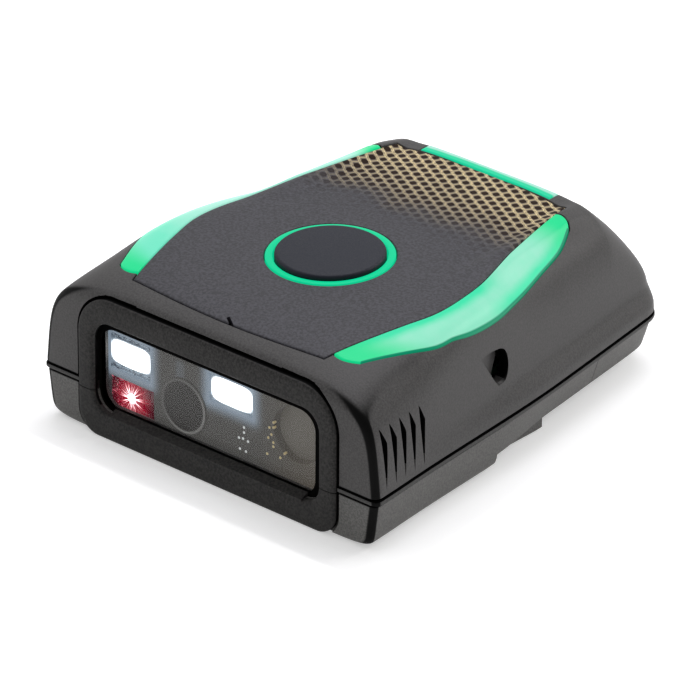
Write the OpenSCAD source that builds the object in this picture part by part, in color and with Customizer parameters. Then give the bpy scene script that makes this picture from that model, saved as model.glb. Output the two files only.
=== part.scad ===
// Wearable barcode scanner: moulded housing in two shells with a sealed seam, a cover plate
// between light guides, one sprung key, and a scan engine behind a clear window.
// +Z up, the window looks along -Y, the origin is under the middle of the part.
// Stations s run along the body from the window face to the rear wall. Heights z of the
// housing are measured from the parting line, and module seat() moves them to the table.

/* [Body] */
// Width across the parting line at the window end
front_w = 50; // [46:0.5:54]
// Width that the tapering sides above the skirt would reach at the rear wall
rear_w = 34.8; // [32:0.2:40]
// How strongly the sides curve as they taper, 1 is straight
taper_pow = 1.15; // [1:0.05:1.4]
// Length of the moulded body from the window face to the rear wall
body_l = 58.9; // [56:0.1:64]
// Height of the upper shell above the parting line
upper_h = 14.6; // [14:0.1:16.5]
// Depth of the lower shell below the parting line
lower_h = 6.6; // [6.2:0.1:8]
// How far the top falls from the rear to the window end
crown_fall = 1.1; // [0.6:0.1:2]
// Extra drop of the brow over the window
brow_drop = 2.2; // [1:0.1:2.4]
// Length over which the brow drops away
brow_l = 4.5; // [3:0.5:6]
// Length of the rounded fall at the rear
rear_fall_l = 10.5; // [8:0.1:13]
// Fullness of the rear fall, 1 is a chamfer and 2 an ellipse
rear_fall_pow = 1.27; // [1.2:0.01:2.2]
// Length over which the sides close to the rear wall
rear_corner_l = 5.9; // [4:0.1:7]
// Squareness of the rear corners in plan
rear_corner_pow = 3.4; // [2.4:0.1:7]
// Squareness of the lower shell's rear corners in plan
keel_corner_pow = 4.5; // [3:0.5:7]
// Squareness of the shoulders at the ends
shoulder_end = 5.3; // [4:0.1:7]
// Extra squareness of the shoulders beside the key
shoulder_mid = 5.6; // [0:0.1:6.5]
// Squareness of the lower shell's bottom edge
keel_square = 14; // [6:1:16]
// Lean of the lower shell's sides at the window end, as a share of the half width
keel_lean = 0.035; // [0:0.005:0.1]
// Lean of the lower shell's sides at the rear
keel_lean_rear = 0.1; // [0.04:0.01:0.14]
// Lean of the sides towards the top, as a share of the half width
side_lean = 0.06; // [0.02:0.01:0.1]
// Flare of the side skirt above the seam, near the rear
skirt_flare = 1.0; // [0:0.1:1.4]
// Station where the skirt starts to flare
skirt_from = 6; // [0:1:20]
// Length over which the skirt reaches its full flare
skirt_l = 29; // [16:1:40]
// Radius of the edges round the window face
face_edge_r = 1.0; // [0.6:0.1:1.4]

/* [Walls and seam] */
// Side wall thickness of both shells
wall_t = 1.5; // [1.3:0.1:1.8]
// Floor thickness of the lower shell
floor_t = 1.2; // [1:0.1:1.5]
// Wall thickness behind the window face
face_t = 2.0; // [1.9:0.1:2.4]
// Height of the seam gasket
gasket_h = 1.0; // [0.8:0.1:1.4]
// How far the seam gasket stands proud of the sides
gasket_proud = 0.2; // [0.1:0.05:0.4]
// Gap between parts that sit in each other's recess
seat_gap = 0.1; // [0.05:0.01:0.2]

/* [Cover plate and light guides] */
// Thickness of the cover plate
plate_t = 0.8; // [0.6:0.1:1]
// Roof left under the cover plate
roof_t = 0.9; // [0.8:0.1:1.3]
// Station of the plate's front edge at its ends
plate_s0 = 3.5; // [3:0.1:4.5]
// Distance from the plate's rear edge to the rear wall, at the plate's ends
plate_rear_gap = 12.7; // [12:0.1:14]
// Bow of the plate's two ends
plate_bow = 0.8; // [0.2:0.1:1]
// Distance from the plate's widest point to the housing's greatest half width
plate_margin = 7.0; // [6.5:0.1:8]
// Thickness of the light guides
guide_t = 1.0; // [0.8:0.1:1.2]
// Greatest reach of a light guide past the plate
guide_reach = 3.8; // [2.5:0.1:4]
// Half width of the rear light guide
rear_guide_hw = 9.6; // [8:0.1:11]
// Width of the rear light guide along the body
rear_guide_l = 1.7; // [1.2:0.1:2.2]
// Diameter of the light pipes under the guides
pipe_d = 2.0; // [1.6:0.1:2.2]
// Gap between the light pipes and the lamps under them
pipe_gap = 0.6; // [0.3:0.1:1.2]
// Width of the pry notch in the plate's front edge
pry_w = 1.4; // [1:0.1:2]

/* [Key] */
// Station of the key's centre
key_s = 20.5; // [19:0.5:22]
// Diameter of the key cap
key_d = 12.6; // [11:0.1:13]
// Outer diameter of the light ring round the key
ring_d = 14.7; // [14.3:0.1:15.5]
// Running gap between the key cap and the light ring
key_gap = 0.15; // [0.1:0.01:0.2]
// How far the key cap stands proud
key_proud = 0.7; // [0.5:0.1:1]
// Rise of the key cap's dome
key_dome = 0.25; // [0.1:0.05:0.4]
// Travel of the key
key_travel = 0.5; // [0.3:0.05:0.7]
// Thickness of the flange that keeps the cap in
key_flange_t = 0.6; // [0.5:0.1:0.8]
// Depth of the light ring
ring_t = 1.4; // [1.2:0.1:1.6]
// Thickness of the key well's wall and floor
well_t = 1.0; // [0.8:0.1:1.2]
// Free height of the return pad
pad_h = 1.4; // [1.2:0.1:1.8]
// Diameter of the key stem
stem_d = 2.6; // [2:0.1:3]

/* [Window] */
// Width of the window opening
win_w = 33.7; // [30:0.1:34]
// Top of the window opening above the parting line
win_top = 7.9; // [7:0.1:8.3]
// Bottom of the window opening below the parting line
win_low = 3.4; // [3:0.1:3.6]
// Corner radius of the window opening
win_r = 2.4; // [1.5:0.1:3]
// Width of the rubber surround at the sides
sur_side = 2.4; // [2:0.1:2.6]
// Height of the rubber surround over the window
sur_top = 3.0; // [2.4:0.1:3.2]
// Radius of the surround's upper corners
sur_r = 5.0; // [3:0.1:5.4]
// Radius of the surround's lower corners
sur_low_r = 2.8; // [2:0.1:5]
// How far the surround stands proud of the window face
sur_proud = 0.5; // [0.3:0.1:0.7]
// Depth of the surround's pocket
sur_seat = 0.3; // [0.2:0.05:0.4]
// Rise of the sloping sill under the window
sill_rise = 0.5; // [0.2:0.1:0.7]
// Width of the window's glued rim
rim_w = 1.0; // [0.8:0.1:1.2]
// Thickness of the window
glass_t = 1.0; // [0.8:0.1:1.1]

/* [Side details] */
// Number of ventilation grooves on each side
vent_n = 5; // [3:1:6]
// Station of the first groove
vent_s = 1.75; // [1.5:0.05:2.5]
// Spacing of the grooves
vent_pitch = 1.75; // [1.5:0.05:2]
// Width of a groove at its top
vent_w = 1.15; // [0.8:0.05:1.3]
// Depth of a groove at its top
vent_depth = 0.95; // [0.6:0.05:1.1]
// Height of a groove's foot above the parting line
vent_z0 = 0.7; // [0.5:0.1:1.2]
// Height of a groove's top above the parting line
vent_z1 = 7.8; // [6.5:0.1:8.2]
// Station of the strap notch's rear wall
notch_s = 26; // [25:0.1:28]
// Length of the strap notch
notch_l = 5.0; // [4:0.1:6]
// Depth of the strap notch
notch_depth = 1.1; // [0.7:0.1:1.2]
// Height of the strap notch's middle
notch_z = 5.9; // [5.5:0.1:6.5]
// Height of the strap notch
notch_h = 4.2; // [3.5:0.1:4.6]
// Wall left behind the strap notch
notch_wall = 0.8; // [0.7:0.1:1]

/* [Underside] */
// Length of the deep chin under the window
chin_l = 23.4; // [21:0.1:24]
// How far the lower shell's rear wall is set in
keel_inset = 0.5; // [0.2:0.1:0.8]
// How much shallower the rear of the lower shell is
rear_rise = 2.1; // [1.8:0.1:2.4]
// Station where the docking foot starts
foot_s0 = 25.0; // [24.5:0.1:26]
// Station where the docking foot ends
foot_s1 = 34.2; // [32:0.1:36]
// Width of the docking foot
foot_w = 39.6; // [36:0.1:40.4]
// Length of the rear end cover, from its joint to the rear wall
cover_l = 15.3; // [14.5:0.1:17]
// Number of charging contacts
contact_n = 5; // [3:1:6]
// Spacing of the charging contacts
contact_pitch = 2.5; // [2:0.1:3]
// Diameter of a charging contact
contact_d = 1.4; // [1:0.1:1.6]

/* [Fasteners] */
// Diameter of the screw bosses
boss_d = 3.8; // [3.4:0.1:4.2]
// Diameter of the screw shanks
screw_d = 1.6; // [1.2:0.1:1.8]
// Diameter of the screw heads
head_d = 2.8; // [2.4:0.1:3]
// Depth of the screw heads' counterbore
head_t = 1.2; // [0.8:0.1:1.4]
// Gap between the front bosses and the engine chassis
boss_gap = 0.6; // [0.4:0.1:0.8]
// Distance from the rear screws to the rear wall
rear_boss_gap = 9.7; // [9.2:0.1:10.5]
// Distance from the rear screws to the sides
rear_boss_side = 5.1; // [4.6:0.1:5.6]

/* [Inside] */
// Station of the front of the optics
optics_s = 2.1; // [2.1:0.1:2.6]
// Depth of the engine chassis
engine_l = 9.0; // [8:0.5:10]
// Width of the engine chassis
engine_w = 35.4; // [34:0.2:35.6]
// Height of the engine chassis
engine_h = 12.8; // [12:0.1:13]
// Thickness of the circuit boards
pcb_t = 1.0; // [0.8:0.1:1.2]
// Height of the main board above the table
board_z = 9.6; // [9.4:0.1:10.5]
// Gap between the main board and the rear screw bosses
board_gap = 1.0; // [0.6:0.1:3]
// Gap between the main board and the side walls
board_side = 2; // [1.8:0.1:3]
// Space between the battery and the rear end cover
battery_gap = 2.7; // [2:0.1:6]
// Width of the battery
battery_w = 22; // [18:0.5:22.5]
// Thickness of the battery
battery_t = 5.0; // [4:0.1:5.4]
// Depth of the lamp optics
lens_t = 3.0; // [2.4:0.1:3.4]
// Diameter of the camera barrel
barrel_d = 6.4; // [5.4:0.1:6.6]
// Length of the radio shield
shield_l = 10; // [8:0.5:12]
// Width of the radio shield
shield_w = 18; // [14:0.5:20]
// Height of the radio shield
shield_h = 1.6; // [1.2:0.1:2]
// Diameter of the vibration motor
motor_d = 8; // [6:0.5:8]
// Height of the vibration motor
motor_h = 3.2; // [2.5:0.1:3.4]
// Diameter of the buzzer
buzzer_d = 8; // [6:0.5:8]
// Height of the buzzer
buzzer_h = 3.6; // [2.5:0.1:3.8]
// Width of an indicator lamp
lamp_w = 1.6; // [1:0.1:1.8]
// Height of an indicator lamp
lamp_h = 0.8; // [0.5:0.1:1]

/* [Hidden] */
$fn = 48;

total_l = body_l + sur_proud + gasket_proud;
face_y = -total_l/2 + sur_proud;
seam_z = lower_h;
rear_s = body_l - rear_fall_l;
close_s = body_l - rear_corner_l;
low_top = -gasket_h;
plate_s1 = body_l - plate_rear_gap;
plate_mid = front_w/2 - plate_margin;
cover_s = body_l - cover_l;
sur_low = lower_h - win_low;
key_slope = crown_fall/rear_s + brow_drop/brow_l*exp(-key_s/brow_l);
key_tilt = atan(key_slope);
well_r = ring_d/2 + seat_gap;
well_depth = ring_t + key_flange_t + pad_h;
flange_r = key_d/2 + 0.35;
optics_mid_z = (win_top - win_low)/2;

// Places of the optics behind the window, as across and up from the parting line
lamp_l_at = [-13.4, 3.5];
lamp_r_at = [1.9, 4.1];
aimer_at = [-13.1, -1.5];
camera_at = [-5.1, 0.3];
side_lens_at = [11.7, 2.7];
lamp_l_size = [6.4, 4.6];
lamp_r_size = [6.6, 3.5];
aimer_size = [6.8, 3.8];
side_lens_d = 6.8;

// Places of the four screws, as across and station
front_boss = [engine_w/2 + boss_gap + boss_d/2, 6.2];
rear_boss_s = body_l - rear_boss_gap;
rear_boss = [half_w(rear_boss_s) - rear_boss_side, rear_boss_s];
rear_pipe_s = plate_s1 + rear_guide_l;

// Plan points of the plate's side edge and of the guide's outer edge: across from the widest
// point, and the share of the plate's length
plate_side = [[-3.8, 0], [-1.2, 0.218], [-0.1, 0.354], [-1, 0.527], [-3.05, 0.726], [-4.7, 0.913],
    [-5.4, 1]];
guide_side = [[-3.9, 0.0445], [-0.62, 0.213], [-0.18, 0.3115], [-0.18, 0.3935], [-0.78, 0.499],
    [-1.9, 0.609], [-3.4, 0.738], [-4.85, 0.8595], [-6.3, 0.9345]];
guide_tip_s = plate_s0 + 1.2;
guide_end_s = plate_s1 - 2.3;

function lerp(a, b, k) = a + (b - a)*k;
function smooth(k) = let (c = min(max(k, 0), 1)) c*c*(3 - 2*c);
function closing(s, from, to, p) = s <= from ? 1 : pow(max(0, 1 - pow((s - from)/(to - from), p)), 1/p);
function edge_inset(s) = let (k = max(0, face_edge_r - s))
    face_edge_r - sqrt(max(0, pow(face_edge_r, 2) - k*k));

// Half width above the skirt, what the skirt adds, and both at the parting line
function upper_at(s) = front_w/2 - (front_w - rear_w)/2*pow(max(s, 0)/body_l, taper_pow);
function flare_at(s) = skirt_flare*smooth((s - skirt_from)/skirt_l);
function taper_at(s) = upper_at(s) + flare_at(s);
// Half width at the parting line, and of the hollow that is set in by o
function half_w(s, o = 0) = (o > 0 ? upper_at(s) - o : taper_at(s) - edge_inset(s))
    *closing(s, close_s, body_l - o, rear_corner_pow);
// Height of the crown over the parting line, set in by o
function crown(s, o = 0) = (upper_h - crown_fall*(1 - min(s, rear_s)/rear_s)
    - brow_drop*exp(-s/brow_l) - o - (o > 0 ? 0 : edge_inset(s)))
    *closing(s, rear_s, body_l - o, rear_fall_pow);
// Squareness of the shoulder
function shoulder(s) = shoulder_end + shoulder_mid*exp(-pow((s - 19)/8, 2));
function lean(z) = 1 - side_lean*z/upper_h;
// Inset of the sides above the skirt
function skirt(s, z) = flare_at(s)*smooth((z - 0.8)/2.4)*closing(s, close_s, body_l, 2);
// Height of the outer surface over a plan point
function top_z(x, s) = let (w = half_w(s) - skirt(s, 9), n = shoulder(s), h = crown(s),
    rise = function (k) h*pow(max(0.02, 1 - pow(min(0.999, abs(x)/(w*k)), n)), 1/n),
    z1 = rise(lean(h)), z2 = rise(lean(z1))) rise(lean(z2));

// Share of the height at each point up a side, and of the width at each point over the top
side_rows = [0, 0.06, 0.12, 0.18, 0.26, 0.42, 0.57, 0.69, 0.78, 0.85, 0.9, 0.938, 0.965, 0.985];
cut_rows = [0, 0.45, 0.7, 0.86, 0.95, 0.985];
function half_ring(s, o, h, w, n, rows, tops) = let (last = rows[len(rows) - 1],
    xl = pow(1 - pow(last, n), 1/n))
    concat([for (k = rows) let (z = k*h)
        [w*lean(z)*pow(1 - pow(k, n), 1/n) - (o > 0 ? 0 : skirt(s, z)), z]],
    [for (t = tops) [w*lean(h)*xl*t, h*pow(1 - pow(xl*t, n), 1/n)]]);
function upper_ring(s, o, roof, rows, tops, base) = let (w = half_w(s, o), h = crown(s, roof),
    n = shoulder(s), half = half_ring(s, o, h, w, n, rows, tops), m = len(half))
    concat(base < 0 ? [[w, base]] : [], half, [[0, h]], [for (i = [m-1:-1:0]) [-half[i][0], half[i][1]]],
    base < 0 ? [[-w, base]] : []);
function in_space(ring, s) = [for (p = ring) [p[0], face_y + s, p[1]]];

// Solid through closed rings that follow each other along the body
module skin(rings, strip = false) {
    n = len(rings[0]);
    m = len(rings);
    sides = [for (i = [0:m-2], j = [0:n-1]) let (a = i*n + j, b = i*n + (j+1)%n, c = b + n, d = a + n)
        each [[a, b, c], [a, c, d]]];
    front = strip ? strip_cap(n) : [[for (j = [n-1:-1:0]) j]];
    rear = strip ? [for (f = strip_cap(n)) [for (k = [2:-1:0]) (m-1)*n + f[k]]]
        : [[for (j = [0:n-1]) (m-1)*n + j]];
    polyhedron([for (r = rings) each r], concat(front, sides, rear));
}
// Triangles over a ring whose second half runs back under the first, or mirrors it
function strip_cap(n) = let (m = floor(n/2)) concat([for (j = [0:m-2]) each [[j+1, j, n-1-j],
    [j+1, n-1-j, n-2-j]]], n % 2 == 1 ? [[m, m-1, m+1]] : []);
// Solid under a grid of plan points that follows the outer surface, from depth d0 to depth d1
module sheet(grid, d0, d1) {
    rows = [for (r = grid) concat([for (p = r) [p[0], face_y + p[1], top_z(p[0], p[1]) - d0]],
        [for (i = [len(r)-1:-1:0]) [r[i][0], face_y + r[i][1], top_z(r[i][0], r[i][1]) - d1]])];
    seat() skin(rows, true);
}
module seat() { translate([0, 0, seam_z]) children(); }

front_s = [0, 0.12*face_edge_r, 0.45*face_edge_r, face_edge_r];
mid_s = [for (k = [1:14]) lerp(face_edge_r, rear_s, pow(k/14, 1.15))];
rear_marks = [0.15, 0.3, 0.44, 0.56, 0.67, 0.77, 0.855, 0.92, 0.965, 0.992];
outer_s = concat(front_s, mid_s, [for (k = rear_marks) lerp(rear_s, body_l, k)]);
function inner_s(o) = concat([for (k = [0:6]) lerp(face_t, rear_s, pow(k/6, 1.2))],
    [for (k = [0.3, 0.55, 0.75, 0.9, 0.97]) lerp(rear_s, body_l - o, k)]);

module upper_form() {
    seat() skin([for (s = outer_s) in_space(upper_ring(s, 0, 0, side_rows, [0.75, 0.5, 0.25], 0), s)],
        true);
}
module upper_hollow() {
    seat() skin([for (s = inner_s(wall_t)) in_space(upper_ring(s, wall_t, plate_t + seat_gap + roof_t,
        cut_rows, [0.5], -1), s)]);
}
// Lower shell: the same plan set in at the rear, with a square keel
keel_l = body_l - keel_inset;
function keel_w(s, o) = (taper_at(s) - o - (o > 0 ? 0 : edge_inset(s) + gasket_proud/2))
    *closing(s, close_s - 1, keel_l - o, keel_corner_pow);
function keel_side(s) = lerp(keel_lean, keel_lean_rear, smooth((s - 22)/13));
function keel_ring(s, o, depth, top) = let (w = keel_w(s, o),
    rows = [0, 0.35, 0.62, 0.8, 0.9, 0.955, 0.985],
    d = depth*closing(s, close_s - (o > 0 ? 1 : 2.5), keel_l - o, 2.5),
    half = concat([for (k = rows) [w*(1 - keel_side(s)*k)*pow(1 - pow(k, keel_square), 1/keel_square), -k*d]],
        [[w*(o > 0 ? 0.74 : 0.33), -d]]))
    concat([[-w, top]], [for (p = half) [-p[0], p[1]]], [for (i = [len(half)-1:-1:0]) half[i]], [[w, top]]);
module keel_form(depth) {
    seat() skin([for (s = concat(front_s, [for (k = [1:8]) lerp(face_edge_r, close_s - 2.5, k/8)],
        [for (k = [0.22, 0.42, 0.6, 0.75, 0.87, 0.95, 0.99]) lerp(close_s - 2.5, keel_l, k)]))
        in_space(keel_ring(s, 0, depth - edge_inset(s), 0), s)]);
}
module keel_hollow(depth) {
    seat() skin([for (s = concat([for (k = [0:5]) lerp(face_t, close_s - 1, k/5)],
        [for (k = [0.3, 0.55, 0.75, 0.9, 0.97]) lerp(close_s - 1, keel_l - wall_t, k)]))
        in_space(keel_ring(s, wall_t, depth, 2), s)]);
}
module both_sides() { children(); mirror([1, 0, 0]) children(); }
module at_plan(p) { translate([p[0], face_y + p[1], 0]) children(); }
// Turns an outline of across and height to stand on the window face, from station s0 to s1
module facing(s0, s1) {
    translate([0, face_y + s1, seam_z]) rotate([90, 0, 0]) linear_extrude(s1 - s0) children();
}
module soft_rect(x, z0, z1, r) {
    hull() for (i = [-1, 1], k = [z0 + r, z1 - r]) translate([i*(x - r), k]) circle(r, $fn = 32);
}
module window_shape(grow) { soft_rect(win_w/2 + grow, -win_low - grow, win_top + grow, win_r + grow); }
module surround_shape(grow) {
    x = win_w/2 + sur_side + grow;
    top = win_top + sur_top + grow;
    low = -win_low - sur_low - grow;
    hull() for (i = [-1, 1]) {
        translate([i*(x - sur_r - grow), top - sur_r - grow]) circle(sur_r + grow, $fn = 32);
        translate([i*(x - sur_low_r - grow), low + sur_low_r + grow]) circle(sur_low_r + grow, $fn = 32);
    }
}
module slab(z0, z1) { translate([-front_w, -body_l, z0]) cube([2*front_w, 2*body_l, z1 - z0]); }
module past(s0, s1) { translate([-front_w, face_y + s0, -1]) cube([2*front_w, s1 - s0, 2*upper_h]); }

// Plan grids of the plate and the guides
function curve_at(pts, t) = let (n = len(pts) - 1, u = min(max(t, 0), 0.99999)*n, i = floor(u), f = u - i,
    p0 = pts[max(i-1, 0)], p1 = pts[i], p2 = pts[i+1], p3 = pts[min(i+2, n)])
    0.5*(2*p1 + (p2 - p0)*f + (2*p0 - 5*p1 + 4*p2 - p3)*f*f + (3*p1 - p0 - 3*p2 + p3)*f*f*f);
function along_plate(p, across) = [p[0] + across, lerp(plate_s0, plate_s1, p[1])];
function plate_edge(t, g) = along_plate(curve_at(plate_side, t), plate_mid + g);
function guide_edge(t, g) = along_plate(curve_at(guide_side, t), plate_mid + guide_reach + g);
guide_pipes = [for (t = [0.31, 0.64]) plate_edge(t, 1.05)];
function plate_grid(g) = [for (i = [0:14]) let (t = i/14, e = plate_edge(t, g),
    s = e[1] + (i == 0 ? -g : i == 14 ? g : 0), bow = plate_bow*(pow(t, 6) - pow(1 - t, 6)))
    [for (k = [-1:0.2:1.001]) [-e[0]*k, s + bow*(1 - k*k)]]];
side_table = [for (i = [0:48]) let (p = plate_edge(i/48, 0)) [p[1], p[0]]];
function guide_grid(g) = [for (i = [0:14]) let (t = i/14, out = guide_edge(t, g),
    nose = i == 0 ? -1 : i == 14 ? 1 : 0, s_in = lerp(guide_tip_s, guide_end_s, t) + nose*g,
    x_in = lookup(s_in, side_table) + seat_gap - g)
    [for (k = [0:0.25:1]) [lerp(out[0], x_in, k), lerp(out[1] + nose*g, s_in, k) + nose*2*k*(1 - k)]]];
function rear_grid(g) = [for (i = [0:3]) [for (k = [-1:0.25:1]) let (bow = plate_bow*(1 - k*k*0.25))
    [-(rear_guide_hw + g)*k, lerp(plate_s1 + seat_gap*2 - g, plate_s1 + rear_guide_l + g, i/3) + bow]]];

// Lies on the crown at the key's centre, leaned with the surface
module at_key() {
    translate([0, face_y + key_s, seam_z + crown(key_s)]) rotate([key_tilt, 0, 0]) children();
}
module round_bar(d, z0, z1) { translate([0, 0, z0]) cylinder(h = z1 - z0, d = d); }
module ring_bar(d1, d2, z0, z1) {
    difference() { round_bar(d1, z0, z1); round_bar(d2, z0 - 1, z1 + 1); }
}
module block(x, s0, s1, z0, z1) {
    translate([x[0], face_y + s0, z0]) cube([x[1] - x[0], s1 - s0, z1 - z0]);
}

// A groove that opens from a point at its foot and closes to a point on the shoulder
function side_x(s, z) = let (n = shoulder(s)) (half_w(s) - skirt(s, z))*lean(z)
    *pow(1 - pow(z/crown(s), n), 1/n);
module vent_groove(s) {
    low = [side_x(s, vent_z0) + 0.02, s + vent_w*0.2, vent_z0];
    top = [side_x(s, vent_z1) + 0.1, s, vent_z1];
    zm = lerp(vent_z0, vent_z1, 0.8);
    xm = side_x(s, zm);
    mid = [[xm + 0.4, s - 0.05, zm], [xm - vent_depth, s + vent_w*0.35, zm], [xm + 0.4, s + vent_w, zm]];
    translate([0, face_y, seam_z]) polyhedron(concat([low], mid, [top]),
        [[0, 2, 1], [0, 3, 2], [0, 1, 3], [4, 1, 2], [4, 2, 3], [4, 3, 1]]);
}
// Strap notch: a ramp that sinks towards a steep rear wall
module strap_notch() {
    x = upper_at(notch_s)*lean(notch_z);
    s0 = notch_s - notch_l;
    shape = [[0, 0.52], [0.5, -0.36], [0.66, -0.46], [0.85, -0.42], [0.97, -0.22], [1, 0.05], [0.94, 0.3],
        [0.8, 0.46], [0.52, 0.54]];
    translate([0, face_y, seam_z + notch_z]) intersection() {
        translate([x - 2, 0, 0]) rotate([90, 0, 90]) linear_extrude(5)
            polygon([for (p = shape) [s0 + p[0]*notch_l, p[1]*notch_h]]);
        translate([0, 0, -notch_h]) linear_extrude(2*notch_h) polygon([[x + 4, s0 - 1], [x + 0.3, s0 - 1],
            [x - notch_depth, notch_s - 0.7], [x - notch_depth, notch_s + 1], [x + 4, notch_s + 1]]);
    }
}
module upper_housing() color("#4c4a47") difference() {
    union() {
        difference() { upper_form(); upper_hollow(); }
        intersection() {
            union() {
                at_key() round_bar(2*(well_r + well_t), -well_depth - well_t, -plate_t);
                both_sides() at_plan(front_boss) round_bar(boss_d, seam_z, seam_z + 9.6);
                both_sides() at_plan(rear_boss) round_bar(boss_d, seam_z, seam_z + 11);
                for (p = board_holes) at_plan(p) round_bar(boss_d, board_z + pcb_t, seam_z + upper_h - 1.5);
                both_sides() block([upper_at(notch_s)*lean(notch_z) - notch_depth - notch_wall,
                    upper_at(notch_s) - wall_t/2], notch_s - notch_l, notch_s + 1,
                    seam_z + notch_z - 0.7*notch_h, seam_z + notch_z + 0.6*notch_h);
            }
            upper_form();
        }
    }
    sheet(plate_grid(seat_gap), -3, plate_t + seat_gap);
    both_sides() sheet(guide_grid(seat_gap), -3, guide_t + seat_gap);
    sheet(rear_grid(seat_gap), -3, guide_t + seat_gap);
    at_key() round_bar(2*well_r, -ring_t, 3);
    at_key() round_bar(2*flange_r + 0.4, -well_depth, 0);
    at_key() round_bar(stem_d + 0.6, -well_depth - 2, 0);
    both_sides() for (p = guide_pipes) at_plan(p) round_bar(pipe_d + 0.3, seam_z + 4, seam_z + upper_h);
    at_plan([0, rear_pipe_s]) round_bar(pipe_d*0.6 + 0.3, seam_z + 4, seam_z + upper_h);
    both_sides() for (p = [front_boss, rear_boss]) at_plan(p) round_bar(screw_d, seam_z - 1, seam_z + 6.5);
    for (p = board_holes) at_plan(p) round_bar(screw_d, board_z, board_z + 5);
    both_sides() for (i = [0:vent_n-1]) vent_groove(vent_s + i*vent_pitch);
    both_sides() strap_notch();
    facing(-1, sur_seat) surround_shape(seat_gap);
    facing(-1, face_t + 1) window_shape(0);
    facing(sur_seat + 0.4, face_t + 1) window_shape(rim_w + seat_gap);
}
// Both pieces of the lower shell before they part
module lower_form() {
    difference() {
        keel_form(lower_h);
        difference() {
            slab(seam_z + low_top, seam_z + 1);
            block([-win_w/2 - sur_side, win_w/2 + sur_side], -1, face_t, 0, seam_z);
        }
        difference() {
            slab(-1, rear_rise);
            past(-5, chin_l);
        }
    }
}
module lower_inside() {
    intersection() { keel_hollow(lower_h - floor_t); past(0, chin_l - wall_t); }
    intersection() { keel_hollow(lower_h - rear_rise - floor_t); past(0, body_l); }
}
module lower_shell() {
    difference() {
        union() {
            difference() { lower_form(); lower_inside(); }
            both_sides() at_plan(front_boss) round_bar(boss_d, 0.6, seam_z);
            both_sides() at_plan(rear_boss) round_bar(boss_d, rear_rise + 0.2, seam_z);
            for (x = [-11, 9]) block([x, x + 2], optics_s + 1, optics_s + engine_l - 1, floor_t/2,
                optics_z0);
        }
        for (p = [[front_boss, 0], [rear_boss, rear_rise]]) both_sides() at_plan(p[0]) {
            round_bar(screw_d + 0.2, -1, seam_z + 1);
            round_bar(head_d + 0.2, -1, p[1] + head_t);
        }
    }
}
module lower_housing() color("#474542") difference() {
    union() {
        intersection() { lower_shell(); past(-2, cover_s); }
        foot();
    }
    facing(-1, sur_seat) surround_shape(seat_gap);
    facing(-1, face_t + 1) window_shape(0);
    facing(sur_seat + 0.4, face_t + 1) window_shape(rim_w + seat_gap);
    contact_opening(1.4, -1, contact_ledge);
    contact_opening(2.2, contact_ledge, seam_z);
}
contact_ledge = rear_rise - 0.2;
module contact_opening(g, z0, z1) {
    block([-contact_row/2 - g, contact_row/2 + g], foot_s0 + 3.4 - g, foot_s1 - 3.4 + g, z0, z1);
}
contact_row = (contact_n - 1)*contact_pitch;
// Docking foot: a raised pad with chamfered edges under the middle of the body
module foot() {
    block([-foot_w/2 + 0.4, foot_w/2 - 0.4], foot_s0, foot_s1, 0, rear_rise + 0.4);
    block([-foot_w/2, foot_w/2], foot_s0, foot_s1, 0.4, rear_rise + 0.4);
}
module rear_end_cover() color("#454340") intersection() {
    lower_shell();
    past(cover_s + seat_gap, body_l + 5);
}
// Seal between the shells, open where the window surround crosses the seam
module seam_gasket() color("#37373a") difference() {
    translate([0, 0, seam_z - gasket_h]) linear_extrude(gasket_h) difference() {
        plan_outline(-gasket_proud);
        plan_outline(wall_t - 0.2);
    }
    both_sides() for (p = [front_boss, rear_boss]) at_plan(p) round_bar(boss_d + 0.2, 0, upper_h);
    facing(-2, face_t + 2) surround_shape(seat_gap);
}
module plan_outline(o) {
    marks = concat([for (k = [0:4]) face_edge_r*(1 - cos(k*22.5))],
        [for (k = [1:8]) lerp(face_edge_r, close_s, k/8)],
        [for (k = [0.3, 0.55, 0.75, 0.9, 0.985]) lerp(close_s, body_l, k)]);
    half = [for (m = marks) let (s = lerp(o, body_l - o, m/body_l)) [(taper_at(s) - o - edge_inset(m))
        *closing(s, close_s, body_l - o, rear_corner_pow), face_y + s]];
    polygon(concat(half, [for (i = [len(half)-1:-1:0]) [-half[i][0], half[i][1]]]));
}

// Rubber surround, split between the shells at the foot of the gasket
module surround() {
    facing(-sur_proud, sur_seat) difference() { surround_shape(0); window_shape(0); }
    translate([0, face_y, seam_z - win_low]) rotate([90, 0, 90])
        linear_extrude(win_w - 2*win_r, center = true) polygon([
            [-sur_proud, -0.3], [-sur_proud, 0], [sur_seat + 0.35, sill_rise], [sur_seat + 0.35, 0],
            [sur_seat, 0], [sur_seat, -0.3]]);
}
module upper_window_surround() color("#33302d") intersection() {
    surround();
    slab(seam_z + low_top + seat_gap/2, seam_z + upper_h);
}
module lower_window_surround() color("#33302d") intersection() {
    surround();
    slab(-1, seam_z + low_top - seat_gap/2);
}
glass_s = sur_seat + 0.4;
module scan_window() color("#8a8f8c", 0.35) facing(glass_s, glass_s + glass_t) window_shape(rim_w);
module window_gasket() color("#1d1d1f") facing(glass_s + glass_t, optics_s) difference() {
    window_shape(rim_w - 0.1);
    window_shape(-0.2);
}

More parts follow.
